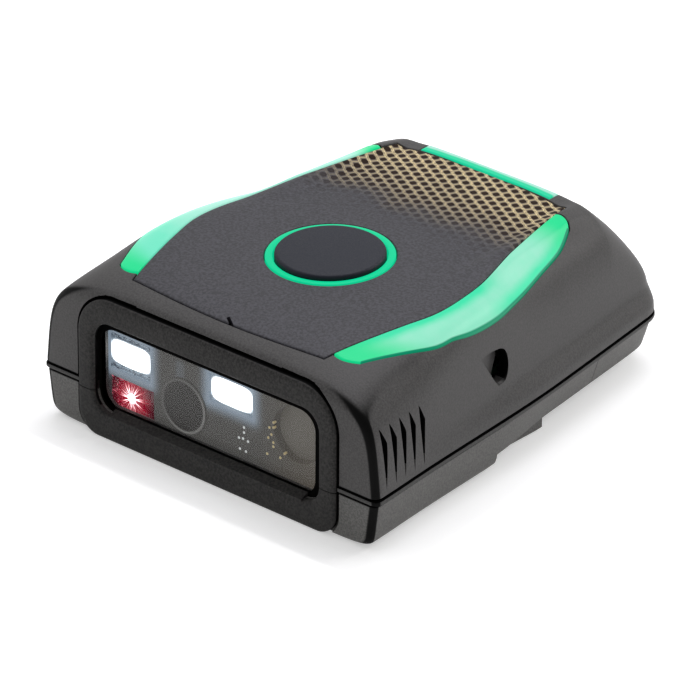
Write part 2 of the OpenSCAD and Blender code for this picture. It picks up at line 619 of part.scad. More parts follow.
module top_cover_plate() color("#56545a") difference() {
    sheet(plate_grid(0), 0, plate_t);
    at_key() round_bar(ring_d + 2*seat_gap, -4, 4);
    translate([0.9, face_y + plate_s0 - plate_bow, seam_z]) linear_extrude(upper_h + 2)
        polygon([[-pry_w/2, -1], [pry_w/2, -1], [pry_w/8, 0.95], [-pry_w/8, 0.95]]);
}
module side_guide() {
    sheet(guide_grid(0), 0, guide_t);
    for (p = guide_pipes) let (z = seam_z + top_z(p[0] + pipe_d/2, p[1]) - guide_t)
        at_plan(p) round_bar(pipe_d, pipe_z, z + guide_t*0.4);
}
module light_guide_right() color("#2fe39a") side_guide();
module light_guide_left() color("#2fe39a") mirror([1, 0, 0]) side_guide();
module light_guide_rear() color("#2fe39a") {
    sheet(rear_grid(0), 0, guide_t);
    at_plan([0, rear_pipe_s]) round_bar(pipe_d*0.6, pipe_z, seam_z + top_z(0, rear_pipe_s) - guide_t*0.7);
}
module key_light_ring() color("#1fd98a") at_key() ring_bar(ring_d, key_d + 2*key_gap, -ring_t, 0.06);
module key_cap() color("#3d3e4a") at_key() {
    rim = key_d/2 - 0.35;
    rotate_extrude() polygon(concat([[0, -ring_t - key_flange_t], [flange_r, -ring_t - key_flange_t],
        [flange_r, -ring_t - 0.05], [key_d/2, -ring_t - 0.05], [key_d/2, key_proud - 0.35]],
        [for (k = [1:4]) [rim + 0.35*cos(k*22.5), key_proud - 0.35 + 0.35*sin(k*22.5)]],
        [for (k = [5:-1:0]) [rim*k/6, key_proud + key_dome*(1 - pow(k/6, 2))]]));
    round_bar(stem_d, -key_reach, -ring_t - key_flange_t/2);
}
switch_z = board_z + pcb_t;
switch_h = 2.0;
key_reach = (seam_z + crown(key_s) - switch_z - switch_h)/cos(key_tilt) - key_travel - 0.05;
module key_return_pad() color("#5c5c66") at_key() difference() {
    translate([0, 0, -well_depth]) cylinder(h = pad_h, d1 = key_d - 1, d2 = key_d - 4);
    round_bar(stem_d + 1.2, -well_depth - 1, 0);
}
module key_switch() color("#b9b4a6") {
    at_plan([0, key_s + switch_shift]) {
        translate([-2.6, -2.6, switch_z]) cube([5.2, 5.2, switch_h - 0.5]);
        round_bar(2.2, switch_z, switch_z + switch_h);
    }
}
switch_shift = (crown(key_s) + seam_z - switch_z)*sin(key_tilt);

optics_z0 = seam_z + optics_mid_z - engine_h/2;
module opt_at(p) { translate([p[0], face_y + optics_s, seam_z + p[1]]) rotate([-90, 0, 0]) children(); }
module opt_rect(p, size, d0, d1) {
    block([p[0] - size[0]/2, p[0] + size[0]/2], optics_s + d0, optics_s + d1, seam_z + p[1] - size[1]/2,
        seam_z + p[1] + size[1]/2);
}
module engine_chassis() color("#26262a") difference() {
    block([-engine_w/2, engine_w/2], optics_s, optics_s + engine_l, optics_z0, optics_z0 + engine_h);
    stepped_bay(lamp_l_at, lamp_l_size);
    stepped_bay(lamp_r_at, lamp_r_size);
    stepped_bay(aimer_at, aimer_size);
    opt_at(camera_at) {
        round_bar(barrel_d, -1, engine_l - 1.2);
        round_bar(barrel_d - 0.6, 0, engine_l + 1);
    }
    opt_at(side_lens_at) {
        round_bar(side_lens_d, -1, lens_t);
        round_bar(side_lens_d - 0.8, 0, engine_l + 1);
    }
}
// Bay for a lamp optic, with a ledge behind it
module stepped_bay(p, size) {
    opt_rect(p, size, -1, lens_t);
    opt_rect(p, size - [0.8, 0.8], 0, engine_l + 1);
}
// Lamp optic: a block with a domed face
module lens_block(p, full) {
    size = full - [seat_gap, seat_gap];
    opt_at(p) intersection() {
        translate([-size[0]/2, -size[1]/2, 0]) cube([size[0], size[1], lens_t]);
        translate([0, 0, 12.2]) sphere(r = 12, $fn = 96);
    }
}
module lamp_lens_left() color("#eef4ff") lens_block(lamp_l_at, lamp_l_size);
module lamp_lens_right() color("#eef4ff") lens_block(lamp_r_at, lamp_r_size);
module aimer_lens() color("#e02040") lens_block(aimer_at, aimer_size);
module chip(p, size, t) { opt_rect(p, size, engine_l - t, engine_l); }
module lamp_chips() color("#f5e9b0") { chip(lamp_l_at, [2.4, 2.4], 1); chip(lamp_r_at, [2.4, 2.4], 1); }
module aimer_chip() color("#d23a3a") chip(aimer_at, [2, 2], 1);
module image_sensor() color("#5a5f66") chip(camera_at, [4, 4], 0.8);
module camera_barrel() color("#1b1b1e") opt_at(camera_at) difference() {
    round_bar(barrel_d - seat_gap, 0.4, engine_l - 1.2);
    round_bar(barrel_d - 1.2, 0, 2.2);
    round_bar(barrel_d - 2.6, 0, engine_l);
}
module camera_lens() color("#6f7f86", 0.6) opt_at(camera_at) intersection() {
    round_bar(barrel_d - 1.2, 0.7, 2.2);
    translate([0, 0, 6.9]) sphere(r = 6);
}
module side_lens() color("#a9a596", 0.7) opt_at(side_lens_at) intersection() {
    round_bar(side_lens_d - seat_gap, 0.4, lens_t);
    translate([0, 0, 10.6]) sphere(r = 10.2);
}
module engine_board() color("#25402f")
    block([-engine_w/2, engine_w/2], optics_s + engine_l, optics_s + engine_l + pcb_t, optics_z0,
        optics_z0 + engine_h);

board_s0 = optics_s + engine_l + pcb_t + 1.2;
board_s1 = rear_boss_s - boss_d/2 - board_gap;
board_edge = [for (s = [board_s0, board_s1]) half_w(s) - wall_t - board_side];
tongue = [rear_boss[0] - boss_d/2 - board_gap, rear_pipe_s + 2];
module main_board() color("#244a36") difference() {
    half = [[board_edge[0], board_s0], [board_edge[1], board_s1], [tongue[0], board_s1],
        [tongue[0] - 1, tongue[1]]];
    translate([0, face_y, board_z]) linear_extrude(pcb_t)
        polygon(concat(half, [for (i = [3:-1:0]) [-half[i][0], half[i][1]]]));
    for (p = board_holes) at_plan(p) round_bar(screw_d, board_z - 1, board_z + pcb_t + 1);
}
board_holes = [for (x = [-13, 13], s = [board_s0 + 4.3, board_s1 - 3.3]) [x, s]];
module indicator_chips() color("#3ee09b") {
    both_sides() for (p = guide_pipes) at_plan(p) lamp_chip();
    at_plan([0, rear_pipe_s]) lamp_chip();
}
module lamp_chip() { translate([-lamp_w/2, -lamp_w/2, switch_z]) cube([lamp_w, lamp_w, lamp_h]); }
pipe_z = switch_z + lamp_h + pipe_gap;
module engine_flex() color("#b07a2a") {
    block([-5, 5], optics_s + engine_l + pcb_t, board_s0 + 2, board_z + pcb_t, board_z + pcb_t + 0.3);
}
module radio_shield() color("#b8bcc0")
    block([-shield_w/2, shield_w/2], shield_s1 - shield_l, shield_s1, switch_z, switch_z + shield_h);
shield_s1 = board_s1 - 6;
tape_t = 0.2;
battery_z = rear_rise + floor_t + tape_t;
battery_s0 = board_s0 + 0.6;
battery_l = cover_s - battery_gap - battery_s0;
module battery_tape() color("#d8d4c8")
    block([-battery_w/2 + battery_t/2 + 0.1, battery_w/2 - battery_t/2 - 0.1], chin_l + 0.5,
        battery_s0 + battery_l - 1, battery_z - tape_t, battery_z);
module battery() color("#8f9499") {
    translate([0, face_y + battery_s0, battery_z]) translate([0, battery_l, battery_t/2]) rotate([90, 0, 0])
        linear_extrude(battery_l) hull() for (x = [-1, 1]) translate([x*(battery_w/2 - battery_t/2), 0])
        circle(battery_t/2, $fn = 24);
}
bay_z = rear_rise + floor_t;
bay_s = cover_s + seat_gap + 0.2;
module vibration_motor() color("#c4c6c8")
    at_plan([motor_d/2 + 3.5, bay_s + motor_d/2]) round_bar(motor_d, bay_z, bay_z + motor_h);
module buzzer() color("#2a2a2c") at_plan([-buzzer_d/2 - 3.5, bay_s + buzzer_d/2]) difference() {
    round_bar(buzzer_d, bay_z, bay_z + buzzer_h);
    round_bar(1.6, bay_z + buzzer_h - 1, bay_z + buzzer_h + 1);
}
contact_mid = (foot_s0 + foot_s1)/2;
module contact_block() color("#2b2a2d") difference() {
    union() {
        contact_opening(1.4 - seat_gap, 0.4, rear_rise + floor_t);
        contact_opening(2.2 - seat_gap, contact_ledge, rear_rise + floor_t);
    }
    for (i = [0:contact_n-1]) at_plan([i*contact_pitch - contact_row/2, contact_mid])
        round_bar(contact_d, -1, rear_rise + floor_t + 1);
}
module contact_pins() color("#d9b45a") for (i = [0:contact_n-1])
    at_plan([i*contact_pitch - contact_row/2, contact_mid]) round_bar(contact_d, 0.25, rear_rise + floor_t);
module screw(head_z, tip_z) {
    round_bar(screw_d, head_z, tip_z);
    difference() {
        round_bar(head_d, head_z - 0.9, head_z);
        round_bar(1.2, head_z - 2, head_z - 0.4, $fn = 6);
    }
}
module housing_screws() color("#9a9ca0") {
    both_sides() at_plan(front_boss) screw(head_t, seam_z + 6);
    both_sides() at_plan(rear_boss) screw(rear_rise + head_t, seam_z + 6);
}
module board_screws() color("#9a9ca0") for (p = board_holes) at_plan(p) screw(board_z, board_z + 4.5);

upper_housing();
lower_housing();
rear_end_cover();
seam_gasket();
upper_window_surround();
lower_window_surround();
scan_window();
window_gasket();
top_cover_plate();
light_guide_left();
light_guide_right();
light_guide_rear();
key_light_ring();
key_cap();
key_return_pad();
key_switch();
engine_chassis();
engine_board();
image_sensor();
camera_barrel();
camera_lens();
lamp_lens_left();
lamp_lens_right();
lamp_chips();
aimer_lens();
aimer_chip();
side_lens();
main_board();
indicator_chips();
engine_flex();
radio_shield();
battery();
battery_tape();
vibration_motor();
buzzer();
contact_block();
contact_pins();
housing_screws();
board_screws();
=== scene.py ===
"""Looks of the wearable barcode scanner: housing, window, scan engine, cover plate, light guides and key."""

import logging
import math
from dataclasses import dataclass, field, replace
from enum import Enum
from functools import cache

import bmesh
import bpy
import numpy as np
from mathutils import Matrix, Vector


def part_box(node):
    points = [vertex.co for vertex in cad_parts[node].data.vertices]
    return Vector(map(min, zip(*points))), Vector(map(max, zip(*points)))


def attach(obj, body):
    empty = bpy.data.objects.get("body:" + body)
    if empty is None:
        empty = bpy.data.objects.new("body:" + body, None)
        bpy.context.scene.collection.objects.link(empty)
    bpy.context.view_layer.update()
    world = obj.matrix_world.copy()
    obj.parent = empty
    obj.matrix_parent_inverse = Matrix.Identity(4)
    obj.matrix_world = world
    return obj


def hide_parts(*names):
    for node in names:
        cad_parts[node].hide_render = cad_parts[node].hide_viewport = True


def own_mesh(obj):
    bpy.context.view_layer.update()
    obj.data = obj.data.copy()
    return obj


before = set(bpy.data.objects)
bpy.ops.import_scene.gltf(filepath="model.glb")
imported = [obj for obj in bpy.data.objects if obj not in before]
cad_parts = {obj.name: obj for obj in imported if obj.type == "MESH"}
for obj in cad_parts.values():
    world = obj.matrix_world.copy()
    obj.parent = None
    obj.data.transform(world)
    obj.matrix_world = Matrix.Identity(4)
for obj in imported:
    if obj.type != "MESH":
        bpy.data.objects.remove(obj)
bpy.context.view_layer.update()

MM = 0.001
LOG = logging.getLogger("scanner")
Color = tuple[float, float, float]
Array = np.ndarray

# Bounds in millimetres that lie beyond the part: across it, before it and behind it
ACROSS = (-40.0, 40.0)
BEFORE = -5.0
BEHIND = 70.0
BLACK: Color = (0.0, 0.0, 0.0)
WHITE: Color = (1.0, 1.0, 1.0)
# Share of a level direction that lies 45 degrees off it
DIAGONAL = 0.707
EAST, NORTH, UP = np.eye(3)


class Cut(Enum):
    """How a tool mesh changes the mesh that it meets."""

    REMOVE = "DIFFERENCE"
    KEEP = "INTERSECT"
    ADD = "UNION"


class Side(Enum):
    """The two sides of the housing, seen with the window in front."""

    RIGHT = 1.0
    LEFT = -1.0


def smooth(k: Array) -> Array:
    """Smooth step from 0 to 1, 3k^2 - 2k^3 between them."""
    c = np.clip(k, 0, 1)
    return c * c * (3 - 2 * c)


def closing(s: Array, start: float, end: float, power: float) -> Array:
    """Share of the full width left at s: a superellipse that falls from 1 at start to 0 at end."""
    u = np.clip((np.asarray(s, float) - start) / (end - start), 0, 1)
    return (1 - u**power) ** (1 / power)


def curve_at(points: Array, t: Array) -> Array:
    """Point on the Catmull-Rom curve through the points, for t from 0 to 1.

    Args:
        points: knots of the curve, one row each.
        t: shares along the curve.

    Returns:
        Points of the curve.
    """
    n = len(points) - 1
    u = np.clip(t, 0, 0.999999) * n
    i = np.floor(u).astype(int)
    f = (u - i)[..., None]
    p0, p1, p2 = points[np.maximum(i - 1, 0)], points[i], points[i + 1]
    p3 = points[np.minimum(i + 2, n)]
    return 0.5 * (2 * p1 + (p2 - p0) * f + (2 * p0 - 5 * p1 + 4 * p2 - p3) * f**2
                  + (3 * p1 - p0 - 3 * p2 + p3) * f**3)


def grid_faces(rows: int, cols: int, close: bool = False, start: int = 0) -> Array:
    """Four-cornered faces of a grid of points, closed round its columns where close is true.

    Args:
        rows: rows of points.
        cols: points in a row.
        close: true where each row closes into a ring.
        start: number of the first point.

    Returns:
        Vertex numbers, four for each face.
    """
    i, j = np.meshgrid(np.arange(rows - 1), np.arange(cols if close else cols - 1), indexing="ij")
    k = (j + 1) % cols
    faces = np.stack([i * cols + j, i * cols + k, (i + 1) * cols + k, (i + 1) * cols + j], -1)
    return faces.reshape(-1, 4) + start


def rim_index(rows: int, cols: int) -> Array:
    """Indices of a grid's outline, once round it."""
    grid = np.arange(rows * cols).reshape(rows, cols)
    return np.concatenate([grid[0, :-1], grid[:-1, -1], grid[-1, :0:-1], grid[:0:-1, 0]])


def signed_volume(mesh: bpy.types.Mesh) -> float:
    """Volume of a closed mesh, below zero where its faces point inwards.

    Args:
        mesh: the closed mesh.

    Returns:
        Volume in cubic metres.
    """
    mesh.calc_loop_triangles()
    tris = np.zeros(len(mesh.loop_triangles) * 3, np.int32)
    mesh.loop_triangles.foreach_get("vertices", tris)
    co = np.zeros(len(mesh.vertices) * 3)
    mesh.vertices.foreach_get("co", co)
    a, b, c = (co.reshape(-1, 3)[tris.reshape(-1, 3)[:, k]] for k in range(3))
    return float((a * np.cross(b, c)).sum() / 6)


def build(name: str, points: Array, faces: list, uv: Array | None = None) -> bpy.types.Object:
    """Makes a closed mesh object with merged doubles and outward faces.

    Args:
        name: name of the piece.
        points: vertices in metres, one row each.
        faces: lists of vertex numbers.
        uv: two numbers for each vertex, kept as the mesh's UV map.

    Returns:
        The new object, at the origin.
    """
    mesh = bpy.data.meshes.new(name)
    mesh.from_pydata(points.tolist(), [], [tuple(f) for f in faces])
    if uv is not None:
        loops = np.zeros(len(mesh.loops), np.int32)
        mesh.loops.foreach_get("vertex_index", loops)
        mesh.uv_layers.new(name="piece").data.foreach_set("uv", uv[loops].ravel())
    work = bmesh.new()
    work.from_mesh(mesh)
    bmesh.ops.remove_doubles(work, verts=work.verts, dist=2e-7)
    bmesh.ops.dissolve_degenerate(work, edges=work.edges, dist=1e-8)
    work.to_mesh(mesh)
    work.free()
    if signed_volume(mesh) < 0:
        mesh.flip_normals()
    piece = bpy.data.objects.new(name, mesh)
    bpy.context.scene.collection.objects.link(piece)
    return piece


def loft(name: str, rings: Array, closed: bool = False) -> bpy.types.Object:
    """Solid through closed rings that follow each other, capped at both ends or closed into a loop.

    Args:
        name: name of the piece.
        rings: points in metres, as rings by points by 3.
        closed: true where the last ring joins the first.

    Returns:
        The new object.
    """
    m, n = rings.shape[:2]
    if closed:
        rings = np.concatenate([rings, rings[:1]])
        return build(name, rings.reshape(-1, 3), grid_faces(m + 1, n, True).tolist())
    caps = [list(range(n - 1, -1, -1)), list(range((m - 1) * n, m * n))]
    return build(name, rings.reshape(-1, 3), grid_faces(m, n, True).tolist() + caps)


def plug(name: str, top: Array, rings: Array, bottom: Array, uv: Array) -> bpy.types.Object:
    """Solid between two grids of points, with rings round their outlines for its edges.

    Args:
        name: name of the piece.
        top: grid of points of the upper face.
        rings: outlines between the two faces, from the top down.
        bottom: grid of points of the lower face.
        uv: two numbers for each point of a grid.

    Returns:
        The new object, with its UV map.
    """
    rows, cols = top.shape[:2]
    rim = rim_index(rows, cols)
    count, turn, levels = rows * cols, len(rim), len(rings)
    points = np.concatenate([top.reshape(-1, 3), rings.reshape(-1, 3), bottom.reshape(-1, 3)])
    steps = [rim] + [count + k * turn + np.arange(turn) for k in range(levels)]
    steps.append(rim + count + levels * turn)
    walls = [np.stack([b, np.roll(b, -1), np.roll(a, -1), a], -1) for a, b in zip(steps, steps[1:])]
    under = grid_faces(rows, cols, start=count + levels * turn)[:, ::-1]
    faces = np.concatenate([grid_faces(rows, cols), *walls, under]).tolist()
    flat = uv.reshape(-1, 2)
    return build(name, points, faces, np.concatenate([flat] + [flat[rim]] * levels + [flat]))


def carve(piece: bpy.types.Object, tools: list[bpy.types.Object], how: Cut) -> None:
    """Adds, removes or keeps the tools' volume in the piece, then drops the tools.

    Args:
        piece: the mesh that is cut.
        tools: meshes that cut it, removed afterwards.
        how: what each tool does.
    """
    for tool in tools:
        step = piece.modifiers.new("carve", "BOOLEAN")
        step.operation, step.solver, step.object = how.value, "MANIFOLD", tool
    bpy.context.view_layer.update()
    shape = piece.evaluated_get(bpy.context.evaluated_depsgraph_get())
    mesh = bpy.data.meshes.new_from_object(shape)
    piece.modifiers.clear()
    piece.data = mesh
    for tool in tools:
        bpy.data.objects.remove(tool)


def shade(piece: bpy.types.Object, degrees: float = 28.0) -> None:
    """Smooth shading, with edges sharper than the angle kept."""
    piece.data.shade_smooth()
    piece.data.set_sharp_from_angle(angle=math.radians(degrees))


def box_mesh(x: tuple, y: tuple, z: tuple) -> bpy.types.Object:
    """Box between three pairs of bounds, in metres in the frame.

    Args:
        x: bounds across.
        y: bounds along the body.
        z: bounds in height.

    Returns:
        The tool mesh.
    """
    ring = np.array([[x[0], z[0]], [x[1], z[0]], [x[1], z[1]], [x[0], z[1]]])
    rings = np.stack([np.insert(ring, 1, level, axis=1) for level in y])
    return loft("tool", rings)


@dataclass(frozen=True)
class HousingForm:
    """Closed formula of the housing's outer surface, in millimetres: across x, station s and height z."""

    front_w: float = 50.0
    rear_w: float = 34.8
    taper_pow: float = 1.15
    body_l: float = 58.9
    upper_h: float = 14.6
    lower_h: float = 6.6
    crown_fall: float = 1.1
    brow_drop: float = 2.2
    brow_l: float = 4.5
    rear_fall_l: float = 10.5
    rear_fall_pow: float = 1.27
    rear_corner_l: float = 5.9
    rear_corner_pow: float = 3.4
    shoulder_end: float = 5.3
    shoulder_mid: float = 5.6
    shoulder_at: float = 19.0
    keel_corner_pow: float = 4.5
    keel_square: float = 14.0
    keel_inset: float = 0.5
    keel_lean: tuple[float, float] = (0.035, 0.1)
    side_lean: float = 0.06
    skirt_flare: float = 1.0
    skirt_from: float = 6.0
    skirt_l: float = 29.0
    face_edge_r: float = 1.0
    seam_edge_r: float = 0.14
    seam_h: float = 1.0
    fill_h: float = 0.85
    fill_starts: tuple[float, float] = (24.0, 10.0)
    fill_ends: tuple[float, float] = (50.5, 6.0)
    fill_inner: tuple[float, float] = (0.58, 0.12)
    fill_outer: tuple[float, float] = (0.845, 0.09)
    skirt_free_z: float = 9.0
    wall_t: float = 1.5
    face_t: float = 2.0
    floor_t: float = 1.2
    face_y: float = -29.3
    seam_z: float = 6.6

    @classmethod
    def from_frame(cls) -> "HousingForm":
        """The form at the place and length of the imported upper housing."""
        low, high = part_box("upper_housing")
        return cls(body_l=(high.y - low.y) / MM, face_y=low.y / MM, seam_z=low.z / MM, lower_h=low.z / MM)

    @property
    def rear_s(self) -> float:
        """Station where the rear fall starts."""
        return self.body_l - self.rear_fall_l

    @property
    def close_s(self) -> float:
        """Station where the sides start to close."""
        return self.body_l - self.rear_corner_l

    def place(self, x: Array, s: Array, z: Array) -> Array:
        """Points of the frame in metres, from across, station and height above the seam."""
        x, s, z = np.broadcast_arrays(x, s, z)
        return np.stack([x, s + self.face_y, z + self.seam_z], -1) * MM

    def upper(self, s: Array) -> Array:
        """Half width above the skirt, without the corners: a power curve from front_w to rear_w."""
        share = (np.maximum(s, 0) / self.body_l) ** self.taper_pow
        return self.front_w / 2 - (self.front_w - self.rear_w) / 2 * share

    def flare(self, s: Array) -> Array:
        """What the skirt adds to the half width, growing to the rear."""
        return self.skirt_flare * smooth((s - self.skirt_from) / self.skirt_l)

    def taper(self, s: Array) -> Array:
        """Half width at the seam, without the corners."""
        return self.upper(s) + self.flare(s)

    def edge_inset(self, s: Array) -> Array:
        """Quarter circle that rounds the edges of the window face."""
        k = np.maximum(0, self.face_edge_r - s)
        return self.face_edge_r - np.sqrt(np.maximum(0, self.face_edge_r**2 - k * k))

    def half_w(self, s: Array) -> Array:
        """Half width at the seam: taper, less the front edge's radius, closed at the rear corners."""
        shut = closing(s, self.close_s, self.body_l, self.rear_corner_pow)
        return (self.taper(s) - self.edge_inset(s)) * shut

    def crown(self, s: Array) -> Array:
        """Height of the crown: a straight rise, less the brow's decay, closed by the rear fall.

        Args:
            s: stations.

        Returns:
            Heights above the seam.
        """
        rise = self.upper_h - self.crown_fall * (1 - np.minimum(s, self.rear_s) / self.rear_s)
        rise = rise - self.brow_drop * np.exp(-s / self.brow_l) - self.edge_inset(s)
        return rise * closing(s, self.rear_s, self.body_l, self.rear_fall_pow)

    def shoulder(self, s: Array) -> Array:
        """Squareness of the shoulder, highest beside the key."""
        return self.shoulder_end + self.shoulder_mid * np.exp(-(((s - self.shoulder_at) / 8) ** 2))

    def lean(self, z: Array) -> Array:
        """Share of the width left at height z."""
        return 1 - self.side_lean * z / self.upper_h

    def skirt(self, s: Array, z: Array) -> Array:
        """Inset of the sides above the flared skirt."""
        return self.flare(s) * smooth((z - 0.8) / 2.4) * closing(s, self.close_s, self.body_l, 2)

    def fill(self, x: Array, s: Array) -> Array:
        """Low swelling of the crown along the rear half of the side guides, zero before the steep side.

        Args:
            x: places across.
            s: stations.

        Returns:
            Heights added to the surface.
        """
        share = np.abs(x) / np.maximum(self.upper(s), 1)
        (s0, rise), (s1, fall), (k0, inner), (k1, outer) = (self.fill_starts, self.fill_ends, self.fill_inner,
                                                            self.fill_outer)
        return (self.fill_h * smooth((s - s0) / rise) * smooth((s1 - s) / fall)
                * smooth((share - k0) / inner) * smooth((k1 - share) / outer))

    def top_z(self, x: Array, s: Array) -> Array:
        """Height of the surface over a plan point: the superellipse solved for z, with the lean iterated.

        Args:
            x: places across.
            s: stations.

        Returns:
            Heights above the seam.
        """
        w, n, h = self.half_w(s) - self.skirt(s, self.skirt_free_z), self.shoulder(s), self.crown(s)
        z = h
        for _ in range(4):
            share = np.minimum(0.999, np.abs(x) / (w * self.lean(z)))
            z = h * np.maximum(0.02, 1 - share**n) ** (1 / n)
        return z + self.fill(x, s)

    def side_x(self, s: Array, z: Array) -> Array:
        """Half width of the surface at height z.

        Args:
            s: stations.
            z: heights above the seam.

        Returns:
            Half widths.
        """
        n = self.shoulder(s)
        share = np.clip(z / self.crown(s), 0, 0.999)
        return (self.half_w(s) - self.skirt(s, z)) * self.lean(z) * (1 - share**n) ** (1 / n)

    def stations(self, mid_n: int, close_at: float, close_to: float, power: float) -> Array:
        """Stations of the rings, closer where the front edge and the rear corners turn.

        Args:
            mid_n: stations between the front edge and the corners.
            close_at: station where the corners start.
            close_to: station where they meet.
            power: fullness of the corners.

        Returns:
            Rising stations, at least 0.02 mm apart.
        """
        edge = self.face_edge_r * (1 - np.cos(np.linspace(0, math.pi / 2, 9)))
        mid = np.linspace(self.face_edge_r, min(self.rear_s, close_at), mid_n)
        levels = 1 - np.linspace(0, 1, 40) ** 1.3
        fall = self.rear_s + (close_to - self.rear_s) * (1 - levels**self.rear_fall_pow) ** (1 / self.rear_fall_pow)
        shut = close_at + (close_to - close_at) * (1 - levels**power) ** (1 / power)
        every = np.unique(np.round(np.concatenate([edge, mid, fall[fall > mid[-1]], shut]), 4))
        return every[np.concatenate([[True], np.diff(every) > 0.02])]

    def rounded(self) -> tuple[Array, Array]:
        """Heights and insets of the quarter circle that rounds an edge at the seam."""
        angle = np.linspace(0, math.pi / 2, 5)
        return self.seam_edge_r * (1 - np.cos(angle)), self.seam_edge_r * (1 - np.sin(angle))

    def upper_rings(self, s: Array, side_n: int = 60, top_n: int = 66) -> Array:
        """Rings of the upper shell: height share up the sides, then width share over the crown.

        Args:
            s: stations of the rings.
            side_n: points up each side.
            top_n: points from a shoulder to the middle.

        Returns:
            Points in metres, as stations by points by 3.
        """
        n = self.shoulder(s)[:, None]
        corner = 0.5 ** (1 / n)
        foot, inset = self.rounded()
        crown = self.crown(s)[:, None]
        foot = np.minimum(foot / np.maximum(crown, 1e-6), 0.2 * corner)
        start = foot[:, -1:]
        up = start + (corner - start) * (1 - (1 - np.linspace(0, 1, side_n)[1:]) ** 1.6)
        up = np.concatenate([foot, up], 1)
        over = corner * (1 - np.linspace(0, 1, top_n)[1:] ** 1.6)
        high = np.concatenate([up, (1 - over**n) ** (1 / n)], 1)
        wide = np.concatenate([(1 - up**n) ** (1 / n), over], 1)
        z = high * crown
        x = (self.half_w(s)[:, None] - self.skirt(s[:, None], z)) * self.lean(z) * wide
        x[:, :len(inset)] = np.maximum(x[:, :len(inset)] - inset, 0.9 * x[:, :len(inset)])
        z = z + self.fill(x, s[:, None])
        x, z = np.concatenate([x, -x[:, -2::-1]], 1), np.concatenate([z, z[:, -2::-1]], 1)
        return self.place(x, s[:, None], z)

    def keel_rings(self, s: Array, inset: float, depth: float, top: float, side_n: int = 40) -> Array:
        """Rings of the lower shell: depth share down the sides, then width share under the floor.

        Args:
            s: stations of the rings.
            inset: how far the ring lies inside the outer surface.
            depth: depth of the floor below the seam.
            top: height of the ring's upper edge.
            side_n: points down each side.

        Returns:
            Points in metres, as stations by points by 3.
        """
        keel_l, p = self.body_l - self.keel_inset, self.keel_square
        inner = inset > 0
        edge = np.zeros_like(s) if inner else self.edge_inset(s)
        w = (self.taper(s) - inset - edge - (0 if inner else 0.1)) * closing(
            s, self.close_s - 1, keel_l - inset, self.keel_corner_pow)
        d = depth * closing(s, self.close_s - (1 if inner else 2.5), keel_l - inset, 2.5) - edge
        corner = 0.5 ** (1 / p)
        down = corner * (1 - (1 - np.linspace(0, 1, side_n)) ** 1.6)
        under = corner * (1 - np.linspace(0, 1, side_n)[1:] ** 1.6)
        extra = (self.seam_h + self.rounded()[0]) / np.maximum(d, 1e-6)[:, None]
        down = np.sort(np.concatenate([np.tile(down, (len(s), 1)), np.minimum(extra, corner)], 1), 1)
        under = np.tile(under, (len(s), 1))
        deep = np.concatenate([down, (1 - under**p) ** (1 / p)], 1)
        wide = np.concatenate([(1 - down**p) ** (1 / p), under], 1)
        lean = self.keel_lean[0] + (self.keel_lean[1] - self.keel_lean[0]) * smooth((s - 22) / 13)
        x, z = w[:, None] * wide * (1 - lean[:, None] * deep), -d[:, None] * deep
        if not inner:
            k = np.clip(1 - (-z - self.seam_h) / self.seam_edge_r, 0, 1)
            x = x - np.minimum(self.seam_edge_r * (1 - np.sqrt(1 - k * k)), 0.1 * x)
        x = np.concatenate([w[:, None], x, -x[:, -2::-1], -w[:, None]], 1)
        lid = np.full_like(w[:, None], top)
        z = np.concatenate([lid, z, z[:, -2::-1], lid], 1)
        return self.place(x, s[:, None], z)


@dataclass(frozen=True)
class Outline:
    """Rounded rectangle on the window face, in millimetres."""

    half: float
    low: float
    top: float
    radius: float
    low_radius: float

    def grown(self, g: float) -> "Outline":
        """The outline moved outwards by g."""
        return Outline(self.half + g, self.low - g, self.top + g, self.radius + g, self.low_radius + g)

    def towards(self, other: "Outline", share: float) -> "Outline":
        """The outline between this one and another, with all sizes mixed."""
        mix = [a + (b - a) * share for a, b in zip(self.sizes(), other.sizes())]
        return Outline(*mix)

    def sizes(self) -> tuple[float, ...]:
        """Half width, lower edge, upper edge and the two corner radii."""
        return self.half, self.low, self.top, self.radius, self.low_radius

    def away(self, x: Array, z: Array) -> Array:
        """Distance outside the outline, below zero inside, with the upper radius at every corner.

        Args:
            x: places across.
            z: heights above the seam.

        Returns:
            Distances in millimetres.
        """
        qx = np.abs(x) - self.half + self.radius
        qz = np.abs(z - (self.top + self.low) / 2) - (self.top - self.low) / 2 + self.radius
        return np.hypot(np.maximum(qx, 0), np.maximum(qz, 0)) + np.minimum(np.maximum(qx, qz), 0) - self.radius

    def ring(self, arc_n: int = 14, wide_n: int = 60, high_n: int = 16) -> Array:
        """Points round the outline: corner arcs joined by straight runs, across and height.

        Args:
            arc_n: points on each corner.
            wide_n: points on each level run.
            high_n: points on each upright run.

        Returns:
            Rows of across and height.
        """
        turn = [np.linspace(0, math.pi / 2, arc_n) + k * math.pi / 2 for k in range(4)]
        r, q = self.radius, self.low_radius
        up, down = (self.half - r, self.top - r), (self.half - q, self.low + q)
        mids = [(*up, r), (-up[0], up[1], r), (-down[0], down[1], q), (*down, q)]
        arcs = [np.stack([cx + rad * np.cos(a), cz + rad * np.sin(a)], -1) for a, (cx, cz, rad) in zip(turn, mids)]
        runs = [np.linspace(arcs[k][-1], arcs[(k + 1) % 4][0], wide_n if k % 2 == 0 else high_n)[1:-1]
                for k in range(4)]
        return np.concatenate([part for k in range(4) for part in (arcs[k], runs[k])])


def face_prism(form: HousingForm, levels: list[tuple[Outline, float]]) -> bpy.types.Object:
    """Solid through outlines that stand at stations along the body."""
    rings = np.stack([form.place(o.ring()[:, 0], s, o.ring()[:, 1]) for o, s in levels])
    return loft("tool", rings)


